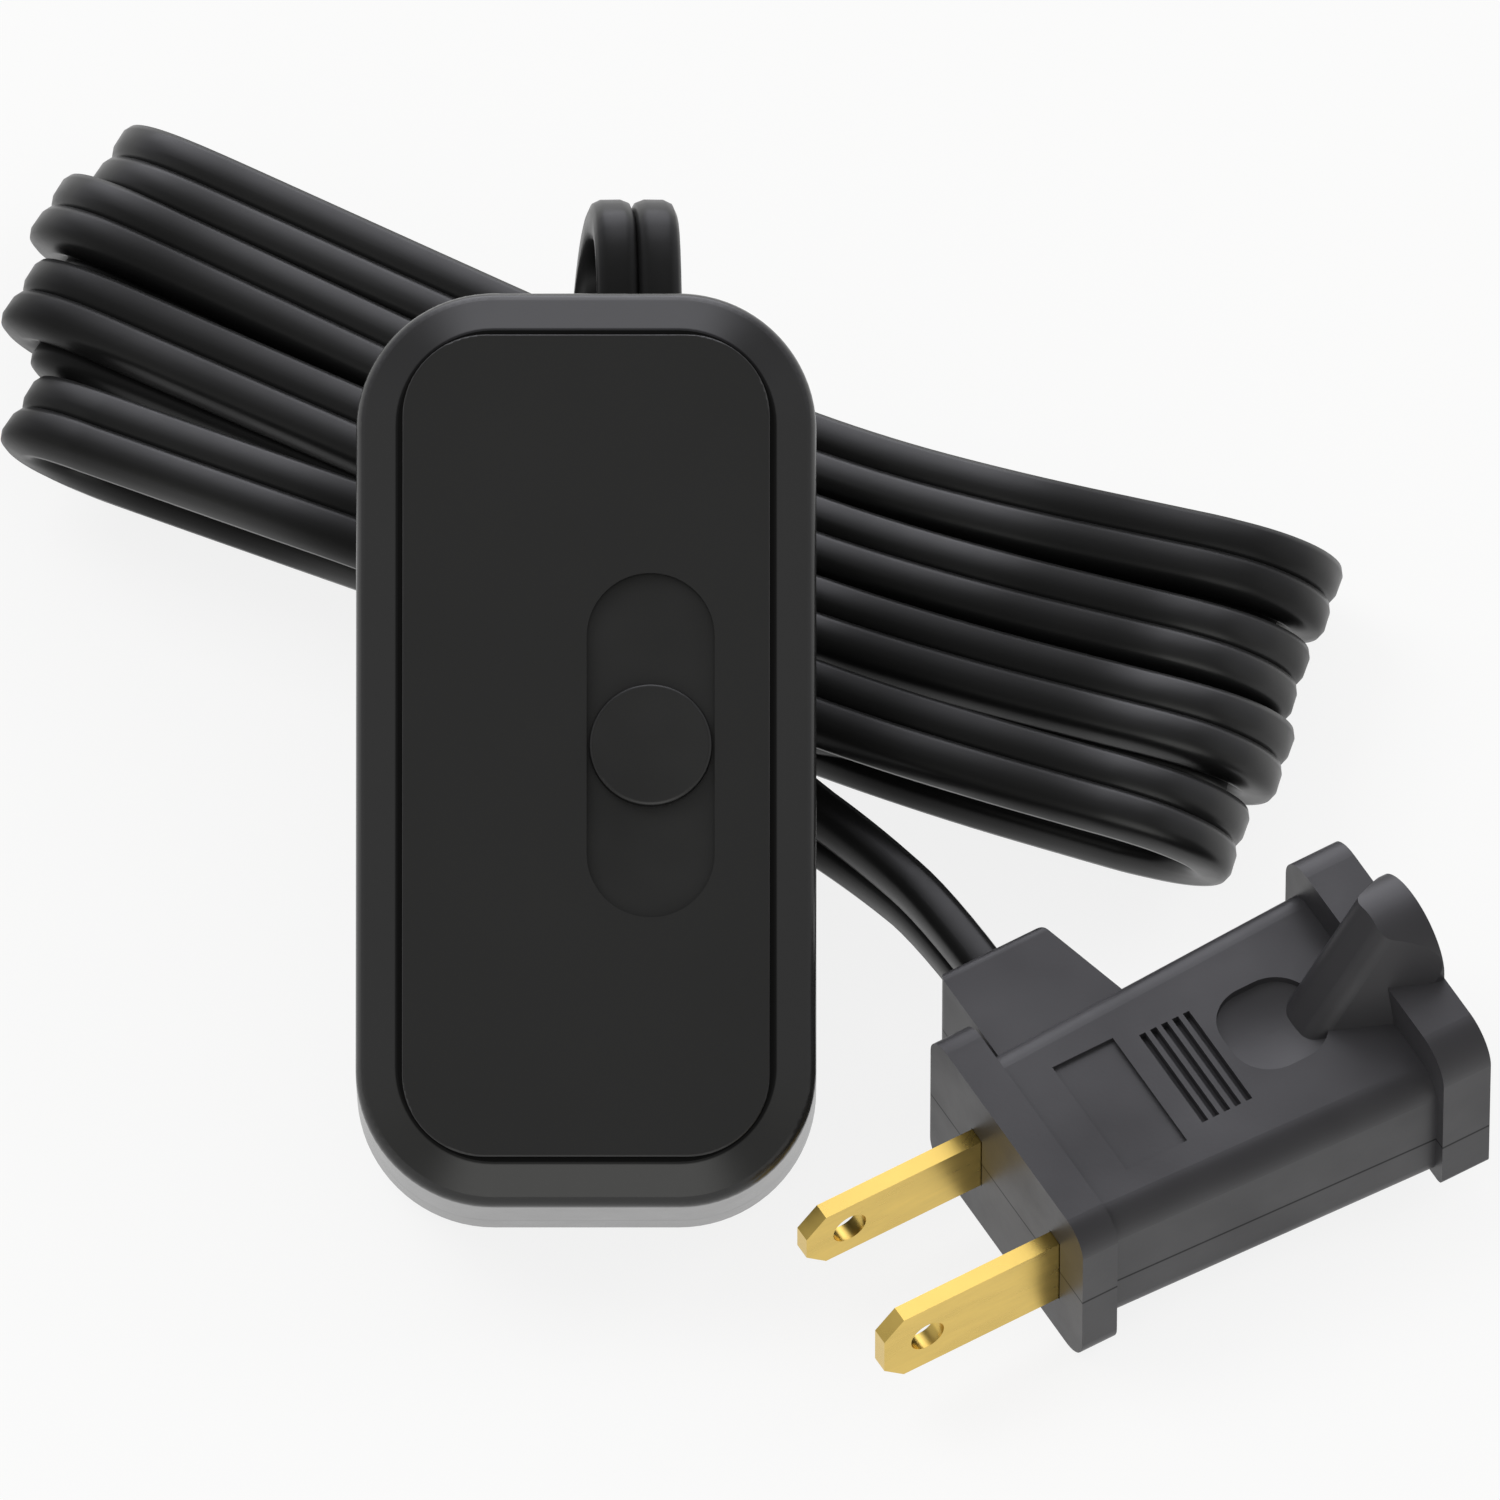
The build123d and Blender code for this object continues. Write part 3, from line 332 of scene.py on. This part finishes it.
def blend_values(tree, factor, first, second):
    """Value socket that goes from first to second"""
    node = tree.nodes.new("ShaderNodeMix")
    for place, value in zip(MIX_VALUES, (factor, first, second)):
        tree.links.new(value, node.inputs[place])
    return node.outputs[0]


def arithmetic(tree, operation, first, second):
    """Socket with the result of one operation on two values, either of them a socket"""
    node = tree.nodes.new("ShaderNodeMath")
    node.operation = operation
    for place, value in enumerate((first, second)):
        if isinstance(value, bpy.types.NodeSocket):
            tree.links.new(value, node.inputs[place])
        else:
            node.inputs[place].default_value = value
    return node.outputs[0]


def raise_grain(tree, shader, height, strength, depth):
    """Bump of the given depth in metres on the shader"""
    bump = tree.nodes.new("ShaderNodeBump")
    bump.inputs["Strength"].default_value = strength
    bump.inputs["Distance"].default_value = depth
    tree.links.new(height, bump.inputs["Height"])
    tree.links.new(bump.outputs["Normal"], shader.inputs["Normal"])


def shade(colour, factor):
    """Colour made lighter or darker"""
    return tuple(channel * factor for channel in colour)


def mottle_colour(tree, shader, factor, colour, darker, lighter):
    """Base colour that wanders between a darker and a lighter shade"""
    blend = blend_colour(tree, factor, shade(colour, darker), shade(colour, lighter))
    tree.links.new(blend, shader.inputs["Base Color"])


def case_height(tree):
    """Height above the underside of the leaning case, in metres"""
    along = tree.nodes.new("ShaderNodeVectorMath")
    along.operation = "DOT_PRODUCT"
    along.inputs[1].default_value = CASE_UP
    tree.links.new(object_space(tree), along.inputs[0])
    return arithmetic(tree, "SUBTRACT", along.outputs["Value"], CASE_MIDDLE.dot(CASE_UP))


def joint_and_painted_shade_line(tree, shader, height, place, half):
    """Darkens the narrow band round the given height: the dark line of a real joint, and also painted
    shade in a groove or round a knob's foot
    """
    off = arithmetic(tree, "ABSOLUTE", arithmetic(tree, "SUBTRACT", height, place), 0.0)
    clear = spread(tree, off, LINE_LIGHT, 1.0, start=half, end=2 * half)
    colour = shader.inputs["Base Color"]
    gloss = shader.inputs["Specular IOR Level"]
    darken = tree.nodes.new("ShaderNodeVectorMath")
    darken.operation = "MULTIPLY"
    tree.links.new(colour.links[0].from_socket, darken.inputs[0])
    tree.links.new(clear, darken.inputs[1])
    tree.links.new(darken.outputs["Vector"], colour)
    shine = gloss.links[0].from_socket if gloss.is_linked else gloss.default_value
    tree.links.new(arithmetic(tree, "MULTIPLY", shine, clear), gloss)


def moulded_plastic(name, colour, roughness, specular):
    """Moulded plastic with a faint mottle, uneven gloss and a fine grain"""
    material, tree, shader = shader_nodes(name)
    mottle = noise(tree, 90.0, detail=3.0)
    mottle_colour(tree, shader, mottle, colour, 0.86, 1.14)
    wear = noise(tree, 240.0, detail=4.0, roughness=0.6)
    tree.links.new(spread(tree, wear, roughness - 0.08, roughness + 0.08), shader.inputs["Roughness"])
    low = specular - SPECULAR_SWING
    high = specular + SPECULAR_SWING
    sheen = spread(tree, noise(tree, 75.0), low, high, start=0.3, end=0.7)
    tree.links.new(sheen, shader.inputs["Specular IOR Level"])
    raise_grain(tree, shader, noise(tree, 2600.0), 0.25, GRAIN_DEPTH)
    return material


def case_plastic(name, finishes):
    """Black moulding of the case: polished on the rim, satin on the flat panel"""
    material, tree, shader = shader_nodes(name)
    colour = tuple(finishes.case_colour)
    height = case_height(tree)
    panel = spread(tree, height, 0.0, 1.0, *PANEL_EDGE, smooth=True)
    mottle = noise(tree, 70.0, detail=3.0)
    mottle_colour(tree, shader, mottle, colour, 0.9, 1.1)
    haze = arithmetic(tree, "MULTIPLY", noise(tree, 320.0, detail=4.0, roughness=0.65), 0.05)
    gloss = spread(tree, panel, finishes.rim_roughness, finishes.panel_roughness)
    tree.links.new(arithmetic(tree, "ADD", gloss, haze), shader.inputs["Roughness"])
    shader.inputs["Specular IOR Level"].default_value = CASE_SPECULAR
    joint_and_painted_shade_line(tree, shader, height, CASE_SEAM, JOINT_AND_SHADE_HALF)
    # Painted shade: the groove round the panel is darkened as if it lay in shadow
    joint_and_painted_shade_line(tree, shader, height, PANEL_SHADE_HEIGHT, JOINT_AND_SHADE_HALF)
    grain = arithmetic(tree, "MULTIPLY", noise(tree, 3200.0), panel)
    raise_grain(tree, shader, grain, 0.2, GRAIN_DEPTH)
    return material


def plug_plastic(name, finishes):
    """Grey moulding of the plug's two halves, with the line where they meet"""
    colour = tuple(finishes.plug_colour)
    material = moulded_plastic(name, colour, finishes.plug_roughness, PLUG_SPECULAR)
    tree = material.node_tree
    shader = tree.nodes["Principled BSDF"]
    place = tree.nodes.new("ShaderNodeSeparateXYZ")
    tree.links.new(object_space(tree), place.inputs[0])
    joint_and_painted_shade_line(tree, shader, place.outputs["Z"], PLUG_SEAM, JOINT_AND_SHADE_HALF)
    return material


def slider_plastic(name, finishes):
    """Black moulding of the slider, with painted shade round the foot of its knob"""
    colour = tuple(finishes.case_colour)
    material = moulded_plastic(name, colour, finishes.panel_roughness, CASE_SPECULAR)
    tree = material.node_tree
    # Painted shade: a dark ring at the foot of the knob, where it sits in the slot
    joint_and_painted_shade_line(tree, tree.nodes["Principled BSDF"], case_height(tree), KNOB_SHADE_HEIGHT, KNOB_SHADE_HALF)
    return material


def cord_jacket(name, finishes):
    """Extruded jacket of the cord: satin black, with uneven gloss where it was handled"""
    material, tree, shader = shader_nodes(name)
    colour = tuple(finishes.cord_colour)
    mottle = noise(tree, 60.0, detail=3.0)
    mottle_colour(tree, shader, mottle, colour, 0.85, 1.2)
    haze = noise(tree, 420.0, detail=3.0, roughness=0.6)
    rough = finishes.cord_roughness
    tree.links.new(spread(tree, haze, rough - 0.07, rough + 0.07), shader.inputs["Roughness"])
    patches = noise(tree, 34.0, detail=1.0)
    handled = spread(tree, patches, *CORD_SPECULAR, start=0.38, end=0.62, smooth=True)
    tree.links.new(handled, shader.inputs["Specular IOR Level"])
    raise_grain(tree, shader, noise(tree, 900.0, detail=3.0), 0.2, CORD_GRAIN_DEPTH)
    return material


def rolled_metal(name, colour, roughness, stretch):
    """Rolled metal with streaks in its colour and gloss"""
    material, tree, shader = shader_nodes(name)
    streaks = noise(tree, 260.0, detail=4.0, roughness=0.65, stretch=stretch)
    mottle_colour(tree, shader, streaks, colour, 0.72, 1.12)
    tree.links.new(spread(tree, streaks, roughness - 0.08, roughness + 0.12), shader.inputs["Roughness"])
    shader.inputs["Metallic"].default_value = 1.0
    grain = noise(tree, 1200.0, detail=3.0, stretch=stretch)
    raise_grain(tree, shader, grain, 0.2, GRAIN_DEPTH)
    return material


def finish_node(name, material):
    """Gives a CAD node one material all over"""
    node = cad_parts[name]
    if not node.material_slots:
        node.data.materials.append(material)
    for place in node.material_slots:
        place.material = material


def hank_plan(run):
    """Plan point on the hank's middle line and the direction across it, away from the viewer"""
    first = (HANK_KNEE - HANK_LEFT).normalized()
    second = (HANK_RIGHT - HANK_KNEE).normalized()
    past = run - (HANK_KNEE - HANK_LEFT).length
    reach = math.hypot(past, HANK_SOFTNESS)
    beyond = (past + reach) / 2
    share = (1 + past / reach) / 2
    point = HANK_LEFT + first * (run - beyond) + second * beyond
    ahead = first.lerp(second, share).normalized()
    return point, Vector((-ahead.y, ahead.x))


def hank_length():
    """Length of the hank from end to end"""
    return (HANK_KNEE - HANK_LEFT).length + (HANK_RIGHT - HANK_KNEE).length


def ease(value):
    """Smooth step from 0 to 1"""
    value = min(max(value, 0.0), 1.0)
    return value * value * (3 - 2 * value)


def column_place(column, run):
    """Place across the hank of a column, given as a number that may lie between two"""
    low = min(int(column), len(COLUMNS) - 2)
    part = column - low
    left = ease(1 - run / FAN_REACH)
    right = ease((run - hank_length() + FAN_REACH) / FAN_REACH)

    def place(number):
        return COLUMNS[number] + left * LEFT_FAN[number] + right * RIGHT_FAN[number]

    return place(low) * (1 - part) + place(low + 1) * part


def hank_point(run, column, level):
    """Point of the winding, and the direction of the cord's width there"""
    point, across = hank_plan(run)
    shift = column_place(column, run) + HANK_LEAN / 2 - HANK_LEAN * level / HANK_SLANT
    plan = point + across * shift
    rise = HANK_HEIGHT / 2 + HANK_HEIGHT * level / HANK_SLANT
    return Vector((plan.x, plan.y, rise)), Vector((across.x, across.y, 0.0))


class Winding:
    """Control points of the cord and the direction of its width at each"""

    def __init__(self):
        self.points = []
        self.widths = []

    def add(self, point, width):
        """One more control point"""
        self.points.append(Vector(point))
        self.widths.append(Vector(width))

    def run(
        self, start, end, column, level, count=6, column_end=None, shift=(0.0, 1.0), level_end=None
    ):
        """Straight pass of the cord, which may change its column or level on the way"""
        for step in range(count + 1):
            part = step / count
            moved = ease((part - shift[0]) / (shift[1] - shift[0]))
            here = column if column_end is None else column + (column_end - column) * moved
            height = level if level_end is None else level + (level_end - level) * moved
            self.add(*hank_point(start + (end - start) * part, here, height))

    def turn(self, end, column, level_from, level_to, side, count=6):
        """Half turn round one end of the hank"""
        middle = (level_from + level_to) / 2
        radius = abs(level_from - level_to) / 2
        swing = math.copysign(1.0, level_from - level_to)
        for step in range(count + 1):
            angle = math.pi * step / count
            out = end - side * radius * (1 - math.sin(angle))
            self.add(*hank_point(out, column, middle + swing * radius * math.cos(angle)))


def wind_cord():
    """Winds the whole cord: case, outer loops near to far, inner loops far to near, plug"""
    cord = Winding()
    for point in CASE_RUN:
        cord.add(point, (1.0, 0.0, 0.0))
    right_foot = hank_length() - RIGHT_FOOT
    left_foot = LEFT_FOOT
    outer = OUTER_LEVEL
    inner = INNER_LEVEL
    far = len(COLUMNS) - 1
    cord.run(HANK_START, right_foot, 0, outer, count=3)
    for column in range(far + 1):
        right = hank_length() - RIGHT_ENDS[column]
        cord.turn(right, column, outer, -outer, 1)
        if column < far:
            cord.run(right_foot, left_foot, column, -outer, column_end=column + 1, shift=LATE_MOVE)
            cord.turn(LEFT_ENDS[column + 1], column + 1, -outer, outer, -1)
            cord.run(left_foot, right_foot, column + 1, outer)
        else:
            cord.run(
                right_foot, left_foot, column, -outer, column_end=column - NEST_SHIFT,
                shift=MIDDLE_MOVE, level_end=-inner,
            )
    for column in range(far, 0, -1):
        nested = column - NEST_SHIFT
        following = max(nested - 1, 0)
        cord.turn(LEFT_ENDS[column] + NEST, nested, -inner, inner, -1)
        cord.run(left_foot, right_foot, nested, inner)
        cord.turn(hank_length() - RIGHT_ENDS[column] - NEST, nested, inner, -inner, 1)
        cord.run(right_foot, left_foot, nested, -inner, column_end=following, shift=EARLY_MOVE)
    cord.turn(LEFT_ENDS[0], 0, -inner, outer, -1)
    cord.run(left_foot, HANK_LEAVE, 0, outer, count=2)
    flat = hank_plan(HANK_LEAVE)[1].to_3d()
    for number, point in enumerate(PLUG_RUN):
        part = ease(number / (len(PLUG_RUN) - 2))
        cord.add(point, flat.lerp(Vector((0.0, 0.0, 1.0)), part))
    return cord


def smooth_line(points):
    """Points along the NURBS spline that has the given control points"""
    line = bpy.data.curves.new("cord_line", "CURVE")
    line.dimensions = "3D"
    line.resolution_u = LINE_STEPS
    spline = line.splines.new("NURBS")
    spline.points.add(len(points) - 1)
    for place, point in zip(spline.points, points):
        place.co = (*point, 1.0)
    spline.order_u = LINE_ORDER
    spline.use_endpoint_u = True
    holder = bpy.data.objects.new("cord_line", line)
    traced = bpy.data.meshes.new_from_object(holder)
    path = [vertex.co.copy() for vertex in traced.vertices]
    bpy.data.objects.remove(holder)
    bpy.data.meshes.remove(traced)
    bpy.data.curves.remove(line)
    return path


def squarish(value):
    """Part of a circle drawn out towards a square with round corners"""
    return math.copysign(abs(value) ** SECTION_POWER, value)


def cord_outline(width, thickness):
    """Section of the flat cord: two round conductors side by side with a groove between"""
    radius = thickness / 2
    offset = width / 2 - radius
    half_arc = math.pi - math.acos(offset / radius)
    outline = []
    for side in (1, -1):
        for step in range(SECTION_STEPS + 1):
            angle = half_arc * (2 * step / SECTION_STEPS - 1)
            if abs(angle) < half_arc or side == 1:
                x = squarish(math.cos(angle))
                y = squarish(math.sin(angle))
                outline.append((side * (offset + radius * x), side * radius * y))
    return outline


def sweep_cord(name, path, widths, outline):
    """Mesh of the flat cord along the path, with its width turned as asked"""
    cord = bmesh.new()
    rings = []
    last = len(path) - 1
    for number, point in enumerate(path):
        ahead = (path[min(number + 1, last)] - path[max(number - 1, 0)]).normalized()
        across = widths[number] - ahead * widths[number].dot(ahead)
        across.normalize()
        out = ahead.cross(across)
        rings.append([cord.verts.new(point + across * x + out * y) for x, y in outline])
    count = len(outline)
    for ring, following in zip(rings, rings[1:]):
        for place in range(count):
            following_place = (place + 1) % count
            cord.faces.new(
                (ring[place], ring[following_place], following[following_place], following[place])
            )
    cord.faces.new(reversed(rings[0]))
    cord.faces.new(rings[-1])
    bmesh.ops.recalc_face_normals(cord, faces=cord.faces)
    mesh = bpy.data.meshes.new(name)
    cord.to_mesh(mesh)
    cord.free()
    mesh.shade_smooth()
    mesh.set_sharp_from_angle(angle=SHARP_ANGLE)
    piece = bpy.data.objects.new(name, mesh)
    bpy.context.scene.collection.objects.link(piece)
    return piece


class DIMMER_OT_camera(bpy.types.Operator):
    """Set the camera at the picture's viewing angle"""

    bl_idname = "lamp_dimmer.camera"
    bl_label = "Camera"

    def execute(self, context):
        stage = context.scene.dimmer_stage
        lens = bpy.data.cameras.new("picture")
        lens.sensor_width = 36.0
        lens.lens = lens.sensor_width * stage.distance / stage.frame_width
        lens.clip_end = 20.0
        camera = bpy.data.objects.new("picture", lens)
        back = Vector((0.0, -math.cos(stage.elevation), math.sin(stage.elevation)))
        camera.location = Vector(stage.aim) + back * stage.distance
        camera.rotation_euler = back.to_track_quat("Z", "Y").to_euler()
        context.scene.collection.objects.link(camera)
        context.scene.camera = camera
        return {"FINISHED"}


class DIMMER_OT_cord(bpy.types.Operator):
    """Wind the flat cord from the case through the hank to the plug"""

    bl_idname = "lamp_dimmer.cord"
    bl_label = "Cord"

    def execute(self, context):
        sizes = context.scene.dimmer_cord
        winding = wind_cord()
        path = smooth_line(winding.points)
        last = len(winding.points) - 1
        widths = []
        for number in range(len(path)):
            place = number / (len(path) - 1) * last
            low = min(int(place), last - 1)
            widths.append(winding.widths[low].lerp(winding.widths[low + 1], place - low))
        piece = sweep_cord("flat_cord", path, widths, cord_outline(sizes.width, sizes.thickness))
        piece.data.materials.append(cord_jacket("cord_jacket", context.scene.dimmer_finishes))
        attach(piece, "dimmer")
        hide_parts("cord_exit", "cord_hank", "cord_lead")
        return {"FINISHED"}


class DIMMER_OT_case_finish(bpy.types.Operator):
    """Give the case halves and the slider their moulded finish"""

    bl_idname = "lamp_dimmer.case_finish"
    bl_label = "Case"

    def execute(self, context):
        finishes = context.scene.dimmer_finishes
        black = case_plastic("case_moulding", finishes)
        for node in ("base_tray", "top_cover"):
            finish_node(node, black)
        finish_node("slider", slider_plastic("slider_moulding", finishes))
        return {"FINISHED"}


class DIMMER_OT_plug_finish(bpy.types.Operator):
    """Give the plug its grey moulding and brass blades"""

    bl_idname = "lamp_dimmer.plug_finish"
    bl_label = "Plug"

    def execute(self, context):
        finishes = context.scene.dimmer_finishes
        grey = plug_plastic("plug_moulding", finishes)
        for node in ("plug_top_shell", "plug_bottom_shell"):
            finish_node(node, grey)
        brass = rolled_metal("blade_brass", tuple(finishes.brass_colour), 0.27, (0.4, 0.4, 2.0))
        for node in ("narrow_blade", "wide_blade", "hot_contact"):
            finish_node(node, brass)
        return {"FINISHED"}


class DIMMER_OT_inside_finish(bpy.types.Operator):
    """Give the circuit's pieces their finishes"""

    bl_idname = "lamp_dimmer.inside_finish"
    bl_label = "Circuit"

    def execute(self, context):
        copper = rolled_metal("bare_copper", (0.72, 0.33, 0.16), 0.3, (1.0, 1.0, 3.0))
        steel = rolled_metal("plated_steel", (0.55, 0.55, 0.56), 0.3, (1.0, 1.0, 1.0))
        aluminium = rolled_metal("plain_aluminium", (0.72, 0.73, 0.75), 0.38, (1.0, 3.0, 1.0))
        plastics = {
            "board_laminate": ((0.32, 0.19, 0.07), 0.5, ("circuit_board",)),
            "black_moulding": ((0.012, 0.012, 0.012), 0.5, ("pot_body", "triac", "cord_clamp")),
            "ferrite": ((0.02, 0.02, 0.02), 0.7, ("choke_core",)),
            "red_dip": ((0.32, 0.03, 0.02), 0.25, ("film_capacitor", "diac")),
            "orange_dip": ((0.5, 0.16, 0.02), 0.3, ("disc_capacitor",)),
            "tan_body": ((0.5, 0.34, 0.18), 0.5, ("resistors",)),
        }
        for name, (colour, roughness, nodes) in plastics.items():
            material = moulded_plastic(name, colour, roughness, INSIDE_SPECULAR)
            for node in nodes:
                finish_node(node, material)
        for material, nodes in (
            (copper, ("case_wires", "plug_wires", "choke_winding")),
            (steel, ("case_screws", "clamp_screws", "pot_lever")),
            (aluminium, ("heat_sink",)),
        ):
            for node in nodes:
                finish_node(node, material)
        return {"FINISHED"}


class DIMMER_OT_stage(bpy.types.Operator):
    """Set the floor, the light and the picture's colour handling"""

    bl_idname = "lamp_dimmer.stage"
    bl_label = "Stage"

    def execute(self, context):
        scene = context.scene
        scene.view_settings.view_transform = "Standard"
        self.lay_floor(scene)
        self.light_all_round(scene)
        aim = Vector(scene.dimmer_stage.aim)
        power = scene.dimmer_stage.key_power
        for name, (offset, size, share) in LIGHTS.items():
            self.hang_light(scene, name, aim, offset, size, power * share)
        return {"FINISHED"}

    def seen_directly(self, tree):
        """Value that is 1 for what the camera sees, also in a reflection or through glass"""
        rays = tree.nodes.new("ShaderNodeLightPath")
        seen = arithmetic(tree, "MAXIMUM", rays.outputs["Is Camera Ray"], rays.outputs["Is Glossy Ray"])
        return arithmetic(tree, "MAXIMUM", seen, rays.outputs["Is Transmission Ray"])

    def lay_floor(self, scene):
        """Pale floor that shows white and keeps a faint shadow"""
        mesh = bpy.data.meshes.new("floor")
        corners = [(-1, -1), (1, -1), (1, 1), (-1, 1)]
        mesh.from_pydata([(x * FLOOR_REACH, y * FLOOR_REACH, 0) for x, y in corners], [], [(0, 1, 2, 3)])
        floor = bpy.data.objects.new("floor", mesh)
        floor.location.z = -FLOOR_DEPTH
        scene.collection.objects.link(floor)
        material = bpy.data.materials.new("floor_white")
        material.use_nodes = True
        tree = material.node_tree
        tree.nodes.clear()
        output = tree.nodes.new("ShaderNodeOutputMaterial")
        paper = tree.nodes.new("ShaderNodeBsdfDiffuse")
        paper.inputs["Color"].default_value = FLOOR_COLOUR
        glow = tree.nodes.new("ShaderNodeEmission")
        mixed = tree.nodes.new("ShaderNodeMixShader")
        share = arithmetic(tree, "MULTIPLY", self.seen_directly(tree), FLOOR_GLOW)
        tree.links.new(share, mixed.inputs[0])
        tree.links.new(paper.outputs[0], mixed.inputs[1])
        tree.links.new(glow.outputs[0], mixed.inputs[2])
        tree.links.new(mixed.outputs[0], output.inputs["Surface"])
        mesh.materials.append(material)

    def light_all_round(self, scene):
        """Surroundings that look white, light softly and show a studio in reflections"""
        stage = scene.dimmer_stage
        world = bpy.data.worlds.new("surroundings")
        scene.world = world
        world.use_nodes = True
        tree = world.node_tree
        background = tree.nodes["Background"]
        rays = tree.nodes.new("ShaderNodeLightPath")
        glossy = rays.outputs["Is Glossy Ray"]
        through = rays.outputs["Is Transmission Ray"]
        seen = arithmetic(tree, "MAXIMUM", rays.outputs["Is Camera Ray"], through)
        plain = spread(tree, seen, stage.ambient, 1.0)
        parts = tree.nodes.new("ShaderNodeSeparateXYZ")
        tree.links.new(tree.nodes.new("ShaderNodeTexCoord").outputs["Generated"], parts.inputs[0])
        depth = parts.outputs["Y"]
        sideways = arithmetic(tree, "ABSOLUTE", parts.outputs["X"], 0.0)
        middle = spread(tree, sideways, 1.0, MIDDLE_LEFT, *MIDDLE_FADE, smooth=True)
        behind = spread(tree, depth, stage.overhead_glow, stage.back_glow, *BACK_RISE, smooth=True)
        ahead = spread(tree, depth, stage.front_glow, 0.0, *FRONT_FALL, smooth=True)
        beside = spread(tree, sideways, 0.0, stage.side_glow, *SIDE_RISE, smooth=True)
        centre = arithmetic(tree, "MULTIPLY", arithmetic(tree, "ADD", behind, ahead), middle)
        studio = arithmetic(tree, "ADD", centre, beside)
        tree.links.new(blend_values(tree, glossy, plain, studio), background.inputs["Strength"])
        cool = spread(tree, depth, 0.0, 1.0, *TINT_RISE, smooth=True)
        reflected = arithmetic(tree, "MULTIPLY", cool, glossy)
        tint = blend_colour(tree, reflected, WARM_TINT, COOL_TINT)
        tree.links.new(tint, background.inputs["Color"])

    def hang_light(self, scene, name, aim, offset, size, power):
        """Square soft light that faces the object and stays out of its reflections"""
        data = bpy.data.lights.new(name, "AREA")
        data.size = size
        data.energy = power
        lamp = bpy.data.objects.new(name, data)
        lamp.location = aim + Vector(offset)
        lamp.rotation_euler = Vector(offset).to_track_quat("Z", "Y").to_euler()
        lamp.visible_glossy = False
        scene.collection.objects.link(lamp)


class DIMMER_PT_sidebar(bpy.types.Panel):
    """Steps that dress the dimmer"""

    bl_label = "Lamp Slide Dimmer"
    bl_space_type = "VIEW_3D"
    bl_region_type = "UI"
    bl_category = "Dimmer"

    def draw(self, context):
        for step in STEPS:
            self.layout.operator(step.bl_idname)
        for group in ("dimmer_finishes", "dimmer_cord", "dimmer_stage"):
            values = getattr(context.scene, group)
            for name in values.__annotations__:
                self.layout.prop(values, name)


STEPS = (
    DIMMER_OT_camera,
    DIMMER_OT_cord,
    DIMMER_OT_case_finish,
    DIMMER_OT_plug_finish,
    DIMMER_OT_inside_finish,
    DIMMER_OT_stage,
)
CLASSES = (DimmerFinishes, DimmerCord, DimmerStage, *STEPS, DIMMER_PT_sidebar)


def register():
    for kind in CLASSES:
        bpy.utils.register_class(kind)
    bpy.types.Scene.dimmer_finishes = PointerProperty(type=DimmerFinishes)
    bpy.types.Scene.dimmer_cord = PointerProperty(type=DimmerCord)
    bpy.types.Scene.dimmer_stage = PointerProperty(type=DimmerStage)


def unregister():
    del bpy.types.Scene.dimmer_finishes
    del bpy.types.Scene.dimmer_cord
    del bpy.types.Scene.dimmer_stage
    for kind in reversed(CLASSES):
        bpy.utils.unregister_class(kind)


def main():
    register()
    bpy.ops.lamp_dimmer.camera()
    bpy.ops.lamp_dimmer.cord()
    bpy.ops.lamp_dimmer.case_finish()
    bpy.ops.lamp_dimmer.plug_finish()
    bpy.ops.lamp_dimmer.inside_finish()
    bpy.ops.lamp_dimmer.stage()


if __name__ == "__main__":
    main()
